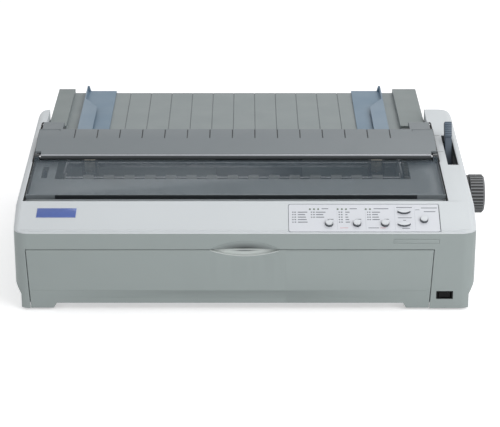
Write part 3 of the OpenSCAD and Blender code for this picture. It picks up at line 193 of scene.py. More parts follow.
def linear(colour):
    """A colour as a screen shows it, 0 to 255, made linear for the shader."""
    shares = [level / 255 for level in colour]
    return [v / 12.92 if v <= 0.04045 else ((v + 0.055) / 1.055) ** 2.4 for v in shares]


def waver(tree, pattern, colour, share, shader):
    """Makes the base colour darker and lighter by a share, where a pattern says."""
    ramp(tree, pattern, [c * (1 - share) for c in colour], [c * (1 + share) for c in colour],
         shader.inputs["Base Color"])


def moulded(name, colour, roughness=0.5, grain=0.018, cloud=0.05):
    """Textured moulded plastic in a screen colour; the grain's depth is in millimetres."""
    material, tree, shader = new_material(name)
    waver(tree, object_noise(tree, 9, detail=4), linear(colour), cloud, shader)
    ramp(tree, object_noise(tree, 24, detail=5), roughness - SHEEN, roughness + SHEEN,
         shader.inputs["Roughness"])
    bump(tree, object_noise(tree, 1 / (GRAIN_SIZE * MM), detail=2), shader, grain)
    return material


silver = moulded("silver_plastic", (207, 212, 215), 0.46, cloud=0.012)
case_grey = moulded("case_grey_plastic", (149, 158, 157), 0.5, cloud=0.02)
cover_grey = moulded("cover_grey_plastic", (116, 123, 127), 0.42, cloud=0.02)
inner_grey = moulded("inner_grey_plastic", (205, 213, 216), 0.55, cloud=0.03)
tray_grey = moulded("tray_grey_plastic", (134, 142, 143), 0.52, cloud=0.02)
block_grey = moulded("tray_block_plastic", (126, 134, 134), 0.52, cloud=0.02)
guide_blue = moulded("guide_blue_plastic", (108, 130, 148), 0.45, cloud=0.02)
# a lighter copy of the guide blue: painted light on faces that look up
guide_blue_lit = moulded("guide_blue_painted_light", (116, 136, 153), 0.42, cloud=0.02)
lever_blue = moulded("lever_blue_plastic", (68, 82, 96), 0.42, cloud=0.03)
cap_blue = moulded("lever_cap_plastic", (96, 112, 127), 0.4, cloud=0.03)
button_pale = moulded("button_plastic", (214, 218, 222), 0.4, grain=0.008, cloud=0.01)
# painted shade for the sides of the buttons
button_side_shade = moulded("button_side_painted_shade", (82, 87, 92), 0.45, cloud=0.02)
knob_grey = moulded("knob_plastic", (118, 120, 122), 0.55, cloud=0.04)
black_plastic = moulded("black_plastic", (36, 37, 38), 0.42, cloud=0.08)
shade_grey = moulded("shaded_plastic", (58, 62, 65), 0.6, cloud=0.05)
# dark grey painted shade in the hump's grooves
groove_shade_grey = moulded("groove_painted_shade", (62, 67, 70), 0.6, cloud=0.03)
# darker painted shade in the tray's grooves
tray_groove_shade = moulded("tray_groove_painted_shade", (116, 123, 125), 0.6, cloud=0.03)
# painted shade on the deck floor under the hump
hump_shade_grey = moulded("deck_painted_shade", (70, 76, 80), 0.5, cloud=0.03)
switch_black = moulded("switch_plastic", (9, 9, 10), 0.5, grain=0.006, cloud=0.05)
acetal = moulded("acetal", (222, 218, 204), 0.35, grain=0.004, cloud=0.02)
bail_pale = moulded("bail_roller_plastic", (206, 208, 206), 0.4, grain=0.006, cloud=0.02)
panel_film = moulded("panel_film", (213, 216, 222), 0.38, grain=0.004, cloud=0.01)
rubber = moulded("ground_rubber", (30, 30, 32), 0.75, grain=0.03, cloud=0.1)
set_inputs(switch_black.node_tree.nodes["Principled BSDF"], Specular_IOR_Level=0.15)
print("moulded plastics and rubber ready")

# %% [markdown]
# The window is smoked clear plastic. What matters in it is that the deck below shows through, dark,
# while its surface still mirrors the room. Alpha lets light through to the parts inside as well,
# which a refracting shader would leave in shadow. Printed and painted faces are smooth instead, so
# they get a thin clear coat over fine waves.

# %% Smoked window and lacquers
def smoked(name, colour, alpha):
    """Smoked clear plastic: a dark tint that lets part of the light through."""
    material, tree, shader = new_material(name)
    waver(tree, object_noise(tree, 14, detail=5), linear(colour), 0.1, shader)
    ramp(tree, object_noise(tree, 60, detail=6), 0.1, 0.18, shader.inputs["Roughness"])
    set_inputs(shader, Alpha=alpha, Specular_IOR_Level=0.2)
    material.use_transparent_shadow = True
    return material


def lacquered(name, colour, roughness=0.22, coat=0.4):
    """A smooth painted or printed surface under a clear coat."""
    material, tree, shader = new_material(name)
    waves = object_noise(tree, 180, detail=3)
    waver(tree, waves, linear(colour), 0.05, shader)
    bump(tree, waves, shader, 0.004)
    set_inputs(shader, Roughness=roughness, Coat_Weight=coat, Coat_Roughness=0.1)
    return material


window_smoke = smoked("smoked_plastic", (96, 108, 117), 0.36)
# the smoke's own darkness at the ribs, with painted shade of the gaps
window_edge_shade = lacquered("window_edge_painted_shade", (44, 48, 51), 0.2)
# painted highlight along the window's lip
window_lip_highlight = lacquered("window_lip_painted_highlight", (128, 136, 140), 0.2)
window_tab = lacquered("window_tab_plastic", (112, 119, 123), 0.25)
badge_blue = lacquered("badge_blue_lacquer", (70, 95, 165))
badge_rim = lacquered("badge_rim_lacquer", (108, 126, 186))
mark_grey = lacquered("printed_mark_grey", (96, 102, 110), 0.4, coat=0.1)
mark_faint = lacquered("printed_mark_faint", (184, 188, 194), 0.4, coat=0.1)
mark_red = lacquered("printed_mark_red", (206, 168, 172), 0.4, coat=0.1)
lamp_smoke = lacquered("lamp_window_green", (112, 128, 112), 0.25)
rod_gloss = lacquered("gloss_dark_plastic", (88, 92, 98), 0.14, coat=0.8)
# painted highlight for the nose's light line
nose_highlight = lacquered("nose_painted_highlight", (176, 181, 187), 0.2, coat=0.6)
board_green = lacquered("board_green_lacquer", (40, 96, 66), 0.35)
print("window and lacquers ready")

# %% [markdown]
# Metal is read by its scratches. Bars are drawn along X and sheets are rolled along X, so the noise
# is stretched along that axis by a Mapping node before it reaches the roughness and the bump.

# %% Metals
def metal(name, colour, roughness):
    """Drawn or rolled metal with fine lines along X."""
    material, tree, shader = new_material(name)
    place = tree.nodes.new("ShaderNodeTexCoord")
    stretch = add_node(tree, "ShaderNodeMapping", Scale=(1, 30, 30))
    tree.links.new(place.outputs["Object"], stretch.inputs["Vector"])
    lines = add_node(tree, "ShaderNodeTexNoise", Scale=40, Detail=6)
    tree.links.new(stretch.outputs["Vector"], lines.inputs["Vector"])
    ramp(tree, lines, [c * 0.9 for c in colour], colour, shader.inputs["Base Color"])
    ramp(tree, lines, roughness - 0.08, roughness + 0.1, shader.inputs["Roughness"])
    bump(tree, lines, shader, 0.006)
    set_inputs(shader, Metallic=1)
    return material


sheet_steel = metal("zinc_sheet", (0.50, 0.52, 0.54), 0.42)
bright_steel = metal("ground_steel", (0.74, 0.75, 0.77), 0.2)
dark_steel = metal("blacked_steel", (0.12, 0.12, 0.13), 0.4)
brass = metal("turned_brass", (0.72, 0.58, 0.30), 0.3)
motor_grey = metal("painted_can", (0.30, 0.31, 0.33), 0.45)
print("metals ready")

# %% [markdown]
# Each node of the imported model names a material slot. First every node simply gets the finish of
# its slot. Nodes that need rounder edges are replaced further down.

# %% Finishes on the nodes as they are
finish_of_slot = {
    "upper_shell": silver, "lower_shell": case_grey, "cover_grey": cover_grey,
    "window": window_smoke, "tray_grey": tray_grey, "guide_blue": guide_blue,
    "lever_blue": lever_blue, "button_grey": button_pale, "panel_film": panel_film,
    "lamp": lamp_smoke, "badge": badge_blue, "knob_grey": knob_grey,
    "black_plastic": black_plastic, "white_plastic": acetal, "black_rubber": rubber,
    "sheet_steel": sheet_steel, "bright_steel": bright_steel, "motor_steel": motor_grey,
    "brass": brass, "board": board_green,
}
for name, item in frame["nodes"].items():
    item.data.materials.clear()
    item.data.materials.append(finish_of_slot[slot_of_node[name]])
for name in ("tractor_left", "tractor_right"):
    frame["nodes"][name].data.materials[0] = dark_steel
print(len(frame["nodes"]), "nodes have their finish")

# %% [markdown]
# Real mouldings have no knife edges. A copy of a node's mesh is merged, its flat faces are joined,
# and a bevel rounds every edge sharper than thirty degrees. Where very short edges meet, a bevel
# can throw a corner far out, so any point that strays from the node's surface is put back on it.
# Last the normals are weighted by area, which keeps large faces flat in the light. Operators act on
# all that is selected, so each copy is first selected alone.

# %% How a moulding gets soft edges
SHARP = radians(30)
SMOOTH = radians(35)          # faces that meet at less than this shade as one


def select_only(*objects):
    """Leaves only these objects selected, the first of them active."""
    bpy.ops.object.select_all(action="DESELECT")
    for item in objects:
        item.select_set(True)
    bpy.context.view_layer.objects.active = objects[0]


def back_to_surface(piece, source, stray):
    """Puts each point further than stray millimetres from the source's surface back on it."""
    surface = BVHTree.FromPolygons([v.co for v in source.data.vertices],
                                   [p.vertices for p in source.data.polygons])
    for vertex in piece.data.vertices:
        spot, _, _, distance = surface.find_nearest(vertex.co)
        if spot is not None and distance > stray * MM:
            vertex.co = spot


@contextmanager
def mesh_of(piece):
    """Opens a piece's mesh to be changed, and puts it back afterwards."""
    mesh = bmesh.new()
    mesh.from_mesh(piece.data)
    yield mesh
    mesh.to_mesh(piece.data)
    mesh.free()


def weigh_edges(piece, skip):
    """Gives each sharp edge the bevel weight 1, unless its middle is to be skipped."""
    with mesh_of(piece) as mesh:
        layer = mesh.edges.layers.float.new("bevel_weight_edge")
        for edge in mesh.edges:
            middle = (to_case @ ((edge.verts[0].co + edge.verts[1].co) / 2)) / MM
            if edge.calc_face_angle(0) > SHARP and not skip(middle):
                edge[layer] = 1


def soft_copy(node, width, joined=True, skip=lambda middle: False):
    """A copy of a node with its edges rounded by width millimetres, which replaces the node."""
    source = frame["nodes"][node]
    piece = bpy.data.objects.new(node + "_moulding", source.data.copy())
    bpy.context.scene.collection.objects.link(piece)
    select_only(piece)
    bpy.ops.object.mode_set(mode="EDIT")
    bpy.ops.mesh.select_all(action="SELECT")
    bpy.ops.mesh.remove_doubles(threshold=0.02 * MM)
    if joined:
        bpy.ops.mesh.dissolve_limited(angle_limit=radians(0.6))
    bpy.ops.object.mode_set(mode="OBJECT")
    weigh_edges(piece, skip)
    rounding = piece.modifiers.new("rounding", "BEVEL")
    rounding.width = width * MM
    rounding.segments = 2
    rounding.limit_method = "WEIGHT"
    rounding.use_clamp_overlap = False
    bpy.ops.object.modifier_apply(modifier=rounding.name)
    back_to_surface(piece, source, width * 1.1)
    bpy.ops.object.shade_smooth_by_angle(angle=SMOOTH)
    level = piece.modifiers.new("large_faces_stay_flat", "WEIGHTED_NORMAL")
    level.keep_sharp = True
    level.weight = 90
    bpy.ops.object.modifier_apply(modifier=level.name)
    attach(piece, body_of_node[node])
    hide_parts(node)
    return piece


print("edge helpers ready")

# %% [markdown]
# Covers and levers have rounder edges than the small parts inside, so each moulding has its own
# width. The buttons and the upper case keep the faces they have: joined, these would have very many
# corners, which a bevel handles badly. The two ends of the control band get no bevel, because many
# short edges meet there.

# %% Soft-edged copies of the mouldings
BUTTONS = ("button_eject", "button_pause", "button_font", "button_load", "button_feed_up",
           "button_feed_down")
GUIDES = ("edge_guide_left", "edge_guide_right")
EDGE_WIDTHS = {
    "lower_case": 0.5, "front_cover": 0.7, "top_cover": 0.6, "window_flap": 0.4,
    "sheet_tray": 0.4, "edge_guide_left": 0.4, "edge_guide_right": 0.4, "release_lever": 0.9,
    "thickness_lever": 0.5, "power_rocker": 0.4, "switch_body": 0.3, "platen_knob": 0.4,
    "paper_bail": 0.3, "power_inlet": 0.3, "rear_ports": 0.25, "ribbon_cartridge": 0.5,
    "print_head": 0.25, "carriage": 0.4, "base_pan": 0.2, "rubber_feet": 0.4,
    "carriage_motor": 0.4, "feed_motor": 0.4, "power_supply": 0.3, "paper_pan": 0.3,
}


def at_band_end(middle):
    """The left and right ends of the control band."""
    return abs(middle.x) > HALF_W - 30 and middle.y < 60 and middle.z < deck_z(60)


moulding = {node: soft_copy(node, width) for node, width in EDGE_WIDTHS.items()}
for node in BUTTONS:
    moulding[node] = soft_copy(node, 0.5, joined=False)
moulding["upper_case"] = soft_copy("upper_case", 0.5, joined=False, skip=at_band_end)
for node in ("switch_body", "power_rocker"):
    moulding[node].data.materials[0] = switch_black
print(len(moulding), "mouldings softened")

# %% [markdown]
# One moulding can show more than one finish, and here most of them are painted light: a groove gets
# painted shade, a polished nose a painted highlight and painted shade, the side of a button painted
# shade. A painter picks faces by their middle point and normal, in the drawing place that suits the
# piece. A face that is too large to be painted as one is cut by a plane first.

# %% Painting faces by their place
def paint_faces(piece, finishes, place=on_case):
    """Gives each finish to the faces whose middle (mm) and normal in a place pass its test."""
    to_place = place.inverted()
    turn = to_place.to_3x3()
    painted = 0
    for material, test in finishes:
        piece.data.materials.append(material)
        for face in piece.data.polygons:
            if test((to_place @ face.center) / MM, turn @ face.normal):
                face.material_index = len(piece.data.materials) - 1
                painted += 1
    return painted


def cut_faces(piece, axis, places):
    """Cuts a piece's faces by planes across an axis of the case, at these millimetres."""
    with mesh_of(piece) as mesh:
        for place in places:
            everything = list(mesh.verts) + list(mesh.edges) + list(mesh.faces)
            bmesh.ops.bisect_plane(mesh, geom=everything, plane_no=axis,
                                   plane_co=on_case @ (Vector(axis) * place * MM))


def from_axis(spot, y, z):
    """Distance of a spot from an axis that runs across the case."""
    return sqrt((spot.y - y) ** 2 + (spot.z - z) ** 2)


print("painters ready")

# %% [markdown]
# The paper cover ends in a round, polished nose. A lamp would draw a light line along it, between a
# dark top and a shaded underside; here that line is a painted highlight and the underside is painted
# shade, three finishes chosen by the slope of the face, so the line shows in any light. The cover's
# two ends are painted black as the shade in the gaps beside them, and the grooves that run up its
# hump get dark grey painted shade.

# %% Finishes of the paper cover
COVER_X0, COVER_X1 = -294, 269
NOSE_Y, NOSE_Z, NOSE_R = 178, 155.47, 4.2
NOSE_LIGHT_FROM, NOSE_LIGHT_TO = 0.62, 0.93        # upward share of the normal
HUMP_Y1, HUMP_Y2, HUMP_Z1 = 216, 247, 170.47
GROOVE_IN, GROOVE_PITCH, GROOVE_COUNT, GROOVE_HALF = 52.8, 31.9, 15, 0.75
SIDE_WALL = 0.25              # sideways share of the normal, from which a face is a side wall
groove_x = [COVER_X0 + GROOVE_IN + i * GROOVE_PITCH for i in range(GROOVE_COUNT)]


def cover_side(spot, normal):
    """The two ends of the cover, painted black as shade."""
    near = min(abs(spot.x - COVER_X0 - 0.8), abs(spot.x - COVER_X1 + 0.8)) < 1
    return near and abs(normal.x) > SIDE_WALL


def on_nose(spot, normal):
    """The whole round of the nose."""
    return from_axis(spot, NOSE_Y, NOSE_Z) < NOSE_R + 0.15


def nose_light(spot, normal):
    """The part of the nose that gets the painted highlight."""
    return on_nose(spot, normal) and NOSE_LIGHT_FROM < normal.z < NOSE_LIGHT_TO


def nose_shade(spot, normal):
    """The part of the nose that looks forward and down, and gets painted shade."""
    return on_nose(spot, normal) and normal.z < NOSE_LIGHT_FROM


def in_hump_groove(spot, normal):
    """The walls and floors of the grooves, below the hump's sloping top, which get painted shade."""
    in_line = any(abs(spot.x - x) < GROOVE_HALF for x in groove_x)
    below = spot.z < HUMP_Z1 + (spot.y - HUMP_Y1) * DECK_RISE
    return in_line and below and HUMP_Y1 - 1 < spot.y < HUMP_Y2 + 0.5


# painted shade on the cover's ends and the nose's underside, a painted highlight on the nose,
# painted shade in the grooves
print(paint_faces(moulding["top_cover"], (
    (black_plastic, cover_side), (rod_gloss, on_nose), (nose_highlight, nose_light),
    (shade_grey, nose_shade), (groove_shade_grey, in_hump_groove))), "faces of the paper cover painted")

# %% [markdown]
# The deck under the window is the same silver moulding as the top, but light hardly reaches parts of
# it, so shade is painted there. Its floor has a duller grey, and from the hump backwards it is
# painted much darker as shade. The finger gap in front and the wells of the levers get darker
# painted shade still, and the side walls of the opening are painted black as shade.

# %% Deck, finger gap and lever wells
FLAP_Y0 = 63                  # front edge of the window flap
DECK_Y1 = 306                 # back end of the opening in the upper case
GAP_HALF = 290                # half the width of the finger gap
WELL_X0, WELL_X1, WELL_Y0, WELL_Y1 = 279.5, 297.5, 159, 261


def deck_floor(spot, normal):
    """All that lies lower than the rim of the opening."""
    inside = COVER_X0 - 0.9 < spot.x < COVER_X1 + 0.9 and BAND_RUN - 0.2 < spot.y < DECK_Y1 + 0.5
    return inside and SEAM_Z + 2 < spot.z < deck_z(spot.y) - 0.6


def finger_gap(spot, normal):
    """The gap between the control band and the window."""
    return (abs(spot.x) < GAP_HALF and BAND_RUN - 0.5 < spot.y < FLAP_Y0 - 0.4
            and SEAM_Z < spot.z < deck_z(spot.y) - 1.2)


def gap_wall(spot, normal):
    """The side walls of the opening, painted black as shade."""
    near = min(abs(spot.x - COVER_X0), abs(spot.x - COVER_X1)) < 1.2
    return near and abs(normal.x) > SIDE_WALL and BAND_RUN < spot.y < DECK_Y1


def behind_hump(spot, normal):
    """The part of the floor from the hump backwards, painted darker as shade."""
    return deck_floor(spot, normal) and spot.y > HUMP_Y1


def lever_well(spot, normal):
    """The slots that the levers stand in."""
    return (WELL_X0 < spot.x < WELL_X1 and WELL_Y0 < spot.y < WELL_Y1
            and spot.z < deck_z(spot.y) - 0.7)


cut_faces(moulding["upper_case"], (0, 1, 0), [HUMP_Y1])
# painted shade on the deck floor, the finger gap, the side walls and the lever wells
print(paint_faces(moulding["upper_case"], (
    (inner_grey, deck_floor), (shade_grey, finger_gap), (black_plastic, gap_wall),
    (hump_shade_grey, behind_hump), (shade_grey, lever_well))), "faces of the upper case painted")

# %% [markdown]
# The window is thick at its ribs, where smoked plastic turns nearly opaque, and the ribs are painted
# darker still as the shade of the gaps beside them. The line of light along the top of its front lip
# is a painted highlight. Seen from the front that lip is dark, because the deck is cut away below
# it, and that dark is painted shade; only the tabs at its two ends are paler.

# %% Ribs, lip and tabs of the window
TAB_X0, TAB_X1 = -254, 230    # the tabs lie outside these
STEEP = 0.3                   # upward share of the normal, below which a face counts as steep


def at_rib(spot, normal):
    """The ribs at both ends and at the back, painted dark as the gaps' shade."""
    return (spot.x < COVER_X0 + 3.4 or spot.x > COVER_X1 - 3.4
            or spot.y > NOSE_Y - NOSE_R - 1.6)


def lip_front(spot, normal):
    """The steep faces along the front, painted dark as shade."""
    return spot.y < FLAP_Y0 + 2.6 and normal.z < STEEP


def lip_tab(spot, normal):
    """The tabs' share of those steep faces."""
    return spot.y < FLAP_Y0 + 0.5 and normal.z < STEEP and not TAB_X0 < spot.x < TAB_X1


def lip_top(spot, normal):
    """The rounded top edge of the lip, which gets a painted highlight."""
    return spot.y < FLAP_Y0 + 0.6 and normal.z >= STEEP


cut_faces(moulding["window_flap"], (1, 0, 0), (TAB_X0, TAB_X1))
# painted shade on the ribs and lip front, a painted highlight on the lip's top
print(paint_faces(moulding["window_flap"], (
    (window_edge_shade, at_rib), (window_edge_shade, lip_front), (window_tab, lip_tab),
    (window_lip_highlight, lip_top))), "faces of the window painted")

# %% [markdown]
# The sheet tray has shallow grooves, spaced as on the hump, painted darker as shade, and a slightly
# darker block at each side. Its two guides are the pieces that get longer here: every point near
# their front end is moved forward, so that they run on under the paper cover. Their top flanges,
# which face the light, are painted a little lighter as light.

# %% Tray and guides
TRAY_X0, TRAY_X1 = -262.5, 228      # edges of the flat part, between the side blocks
TRAY_GROOVE_IN, TRAY_GROOVE_HALF = 22, 0.6
TRAY_GROOVE_Y0, TRAY_GROOVE_Y1 = -28, 144
GUIDE_FRONT_Y, GUIDE_REACH = -21, 24


def in_tray_groove(spot, normal):
    """The grooves that run up the tray, which get painted shade; 5 shifts the remainder, so it is
    near zero in a groove.
    """
    aside = (spot.x - TRAY_X0 - TRAY_GROOVE_IN + 5) % GROOVE_PITCH - 5
    return (abs(aside) < TRAY_GROOVE_HALF and TRAY_X0 + 0.5 < spot.x < TRAY_X1
            and TRAY_GROOVE_Y0 < spot.y < TRAY_GROOVE_Y1 and -0.72 < spot.z < -0.1)


def side_block(spot, normal):
    """The blocks left and right of the flat part."""
    return spot.x < TRAY_X0 - 0.1 or spot.x > TRAY_X1 + 0.1


def flange(spot, normal):
    """The guides' top faces, painted lighter as light."""
    return spot.z > 6.2 and normal.z > 0.5


# painted shade in the tray's grooves
painted = paint_faces(moulding["sheet_tray"], (
    (tray_groove_shade, in_tray_groove), (block_grey, side_block)), on_tray)
for node in GUIDES:
    for vertex in moulding[node].data.vertices:
        spot = to_tray @ vertex.co
        if spot.y < GUIDE_FRONT_Y * MM:
            vertex.co = on_tray @ (spot - Vector((0, GUIDE_REACH * MM, 0)))
    # painted light on the flanges' top faces
    painted += paint_faces(moulding[node], [(guide_blue_lit, flange)], on_tray)
print(painted, "faces of the tray and its guides painted")

# %% [markdown]
# A button is pale on its cap; its sides, down in its well, get darker painted shade. The paper bail
# is a steel bar with a row of pale rollers on it, which differ from the bar by their radius.

# %% Buttons and bail rollers
BAIL_Y, BAIL_Z, BAIL_HALF = 182, 122.9, 262
ROLLER_FROM, ROLLER_TO = 3, 4.3     # distances from the axis, between which a face is a roller's


def below_cap(spot, normal):
    """The sides of a button, which get painted shade."""
    return spot.z < 3.6 and abs(normal.z) < 0.75


def bail_roller(spot, normal):
    """The rollers, outside the bar's own radius."""
    return abs(spot.x) < BAIL_HALF and ROLLER_FROM < from_axis(spot, BAIL_Y, BAIL_Z) < ROLLER_TO


# painted shade on the buttons' sides
painted = sum(paint_faces(moulding[node], [(button_side_shade, below_cap)], on_band) for node in BUTTONS)
painted += paint_faces(moulding["paper_bail"], [(bail_pale, bail_roller)])
print(painted, "faces of buttons and rollers painted")

# %% [markdown]
# New pieces start as a primitive in edit mode. A block is a cube that is resized, moved to its
# place and bevelled; a turned piece is a disc that is extruded ring by ring. What belongs together
# is joined, so that it stays one piece. Each is drawn in millimetres in one of the drawing places,
# and that place is then applied to its mesh.

# %% Makers for new pieces
ALONG_X = Matrix.Rotation(pi / 2, 4, "Y")
UPRIGHT = Matrix.Identity(4)


def start_from(primitive, **sizes):
    """Adds a primitive at the origin, with nothing else selected."""
    bpy.ops.object.select_all(action="DESELECT")
    primitive(location=(0, 0, 0), **sizes)
    return bpy.context.object


def extrude(x, y, z):
    """Extrudes what is selected by millimetres."""
    bpy.ops.mesh.extrude_region_move(TRANSFORM_OT_translate={"value": (x * MM, y * MM, z * MM)})


def close_mesh(piece, place):
    """Turns all faces outwards, leaves edit mode and puts the piece in its place."""
    bpy.ops.mesh.select_all(action="SELECT")
    bpy.ops.mesh.normals_make_consistent(inside=False)
    bpy.ops.object.mode_set(mode="OBJECT")
    piece.matrix_world = place
    return piece


def add_block(low, high, place=on_case, edge=0.4, segments=2):
    """A block between two corners in millimetres, its edges rounded."""
    piece = start_from(bpy.ops.mesh.primitive_cube_add, size=1)
    bpy.ops.object.mode_set(mode="EDIT")
    bpy.ops.transform.resize(value=[(b - a) * MM for a, b in zip(low, high)])
    bpy.ops.transform.translate(value=[(a + b) / 2 * MM for a, b in zip(low, high)])
    bpy.ops.mesh.bevel(offset=edge * MM, segments=segments, affect="EDGES")
    bpy.ops.object.mode_set(mode="OBJECT")
    piece.matrix_world = place
    return piece


def add_turned(spot, rings, sides, turn=UPRIGHT):
    """A turned piece from a spot; rings are (distance along the axis, radius) in millimetres."""
    piece = start_from(bpy.ops.mesh.primitive_circle_add, vertices=sides,
                       radius=rings[0][1] * MM, fill_type="NGON")
    bpy.ops.object.mode_set(mode="EDIT")
    bpy.ops.transform.translate(value=(0, 0, rings[0][0] * MM))
    for (before, radius), (after, wider) in zip(rings, rings[1:]):
        extrude(0, 0, after - before)
        bpy.ops.transform.resize(value=(wider / radius, wider / radius, 1))
    return close_mesh(piece, on_case @ Matrix.Translation([v * MM for v in spot]) @ turn)


def finish_piece(parts, name, material, body, replaces=()):
    """Joins the parts into one piece, applies its place and gives it finish and body."""
    select_only(*parts)
    if len(parts) > 1:
        bpy.ops.object.join()
    piece = bpy.context.object
    piece.name = name
    bpy.ops.object.transform_apply(location=True, rotation=True, scale=True)
    bpy.ops.object.shade_smooth_by_angle(angle=SMOOTH)
    piece.data.materials.clear()
    piece.data.materials.append(material)
    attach(piece, body)
    if replaces:
        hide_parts(*replaces)
    return piece


def case_box(node):
    """A node's box as two corners in case millimetres."""
    return [(to_case @ Vector(corner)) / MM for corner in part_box(node)]


print("makers ready")

# %% [markdown]
# The finger scoop is a soft hollow in the front: nothing at its arch, deepest at the joint above
# the flap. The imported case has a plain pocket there. A grid is bent over that pocket by moving its
# points, because no single operator gives a hollow that fades on three sides, and then it is
# extruded back to a flat face, so that it is a closed piece that fills the pocket.

# %% Shape of the finger scoop
SCOOP_W, SCOOP_RISE = 93, 12
SCOOP_POCKET, SCOOP_SINK = 9, 4     # depth of the pocket, and of the hollow in it
FLAP_TOP, COVER_GAP = 86, 0.8
SKIN, PLAY = 0.02, 0.05       # the hollow starts behind the front face and ends inside the pocket


def arch(x):
    """Height of the scoop's flat arch at a distance from its middle."""
    big = (SCOOP_W * SCOOP_W / 4 + SCOOP_RISE * SCOOP_RISE) / (2 * SCOOP_RISE)
    return max(SCOOP_RISE - big + sqrt(big * big - x * x), 0.04)


def add_scoop():
    """The hollow above the flap, filling its pocket."""
    piece = start_from(bpy.ops.mesh.primitive_grid_add, x_subdivisions=60, y_subdivisions=14,
                       size=2)
    for vertex in piece.data.vertices:
        across, up = vertex.co.x, (vertex.co.y + 1) / 2
        x = across * (SCOOP_W / 2 - 0.2)
        hollow = (1 - across * across) ** 0.8 * (1 - up) ** 1.9
        vertex.co = (x * MM, (SKIN + hollow * SCOOP_SINK) * MM,
                     (FLAP_TOP + COVER_GAP + SKIN + up * (arch(x) - PLAY)) * MM)
    bpy.ops.object.mode_set(mode="EDIT")
    bpy.ops.mesh.select_all(action="SELECT")
    extrude(0, 10, 0)
    bpy.ops.transform.resize(value=(1, 0, 1))
    bpy.ops.object.mode_set(mode="OBJECT")
    back = max(vertex.co.y for vertex in piece.data.vertices)
    for vertex in piece.data.vertices:
        if vertex.co.y > back - 0.001 * MM:
            vertex.co.y = (SCOOP_POCKET - PLAY) * MM
    bpy.ops.object.mode_set(mode="EDIT")
    return close_mesh(piece, on_case)


print("scoop drawn", SCOOP_W, "mm wide")

# %% [markdown]
# In the hollow the light fades towards the joint, and the shape alone would show too little of
# that. So the finish helps: a round gradient, squeezed flat, that turns from the grey of the case
# to nearly black.

# %% Finish of the scoop
def faded(name, z, half_w, half_z, outer, inner, start, end):
    """A plastic that turns from one colour to another inside a flat oval on the case's front."""
    material, tree, shader = new_material(name)
    middle = on_case @ Vector((0, 0, z * MM))
    wide, tall = 1 / (half_w * MM), 1 / (half_z * MM)
    place = tree.nodes.new("ShaderNodeTexCoord")
    squeezed = add_node(tree, "ShaderNodeMapping", Scale=(wide, 0, tall),
                        Location=(-middle.x * wide, 0, -middle.z * tall))
    tree.links.new(place.outputs["Object"], squeezed.inputs["Vector"])
    oval = tree.nodes.new("ShaderNodeTexGradient")
    oval.gradient_type = "SPHERICAL"
    tree.links.new(squeezed.outputs["Vector"], oval.inputs["Vector"])
    ramp(tree, oval, linear(outer), linear(inner), shader.inputs["Base Color"], start, end)
    set_inputs(shader, Roughness=0.45)
    return material


scoop_grey = faded("scoop_plastic", FLAP_TOP, SCOOP_W / 2, SCOOP_RISE + 1,
                   (149, 158, 157), (38, 42, 43), 0.05, 0.95)
scoop = finish_piece([add_scoop()], "finger_scoop", scoop_grey, "case")
print("scoop points:", len(scoop.data.vertices))

# %% [markdown]
# Below it the flap's face leans in a little, so a fingertip finds the edge. The flap's own moulding
# is cut into small faces round the dip, and the points of its front face sink by up to two
# millimetres, most at the middle of the top edge.

# %% Soft lean of the flap under the scoop
DISH_HALF, DISH_BOTTOM, DISH_SINK = 56, 60, 1.9
DISH_STEP_X, DISH_STEP_Z = 4, 2


def cut_front(mesh, spot, normal):
    """Cuts the faces at the front of the flap by one plane."""
    front = [face for face in mesh.faces if face.normal.y < -0.9
             and (to_case @ face.calc_center_median()).y < 1.5 * MM]
    edges = {edge for face in front for edge in face.edges}
    corners = {corner for face in front for corner in face.verts}
    bmesh.ops.bisect_plane(mesh, geom=front + list(edges) + list(corners), plane_no=normal,
                           plane_co=on_case @ Vector([v * MM for v in spot]))


with mesh_of(moulding["front_cover"]) as mesh:
    for x in range(-DISH_HALF, DISH_HALF + 1, DISH_STEP_X):
        cut_front(mesh, (x, 0, 0), (1, 0, 0))
    for z in range(DISH_BOTTOM, FLAP_TOP, DISH_STEP_Z):
        cut_front(mesh, (0, 0, z), (0, 0, 1))
    for corner in mesh.verts:
        spot = (to_case @ corner.co) / MM
        if spot.y < 1.2 and abs(spot.x) < DISH_HALF and spot.z > DISH_BOTTOM:
            side = 1 - (spot.x / DISH_HALF) ** 2
            rise = (spot.z - DISH_BOTTOM) / (FLAP_TOP - DISH_BOTTOM)
            corner.co.y += DISH_SINK * side ** 2 * rise ** 1.6 * MM
print("flap points:", len(moulding["front_cover"].data.vertices))

# %% [markdown]
# The dip's lip and floor get a painted highlight, a crescent of light, that turns to a duller
# painted shade in a lens in the middle. It is the same kind of gradient as in the scoop.

# %% Painted highlight and shade in the dip of the flap
# painted highlight on the dip's lip, turning to painted shade in the middle
dip_light_and_shade = faded("dip_painted_light", FLAP_TOP - 3.2, 24, 1.7,
                 (205, 211, 209), (120, 126, 126), 0.1, 0.7)


def in_dip(spot, normal):
    """The lip and the floor of the dip."""
    return (abs(spot.x) < SCOOP_W / 2 - 3 and FLAP_TOP - 9.5 < spot.z < FLAP_TOP - 0.2
            and spot.y < 9 and (normal.z > 0.12 or spot.y > 4))


print("faces with painted light in the dip:", paint_faces(moulding["front_cover"], [(dip_light_and_shade, in_dip)]))

# %% [markdown]
# A thin plain strip of the case's own plastic lies in a shallow place on the front, at the right.
# The badge is a plain plate too, blue and lacquered, in a slightly lighter raised rim, and its
# sides lean a little to the right.

# %% Plain strip and badge
STRIP_X0, STRIP_X1 = HALF_W - 109.7, HALF_W - 50.3
STRIP_Z0, STRIP_Z1 = SEAM_Z - 13.2, SEAM_Z - 7.8
BADGE_X, BADGE_W, BADGE_LEAN = -HALF_W + 29.5, 52, 0.05
BADGE_S0, BADGE_S1 = 27.6, 43.3
BADGE_RIM = 0.7


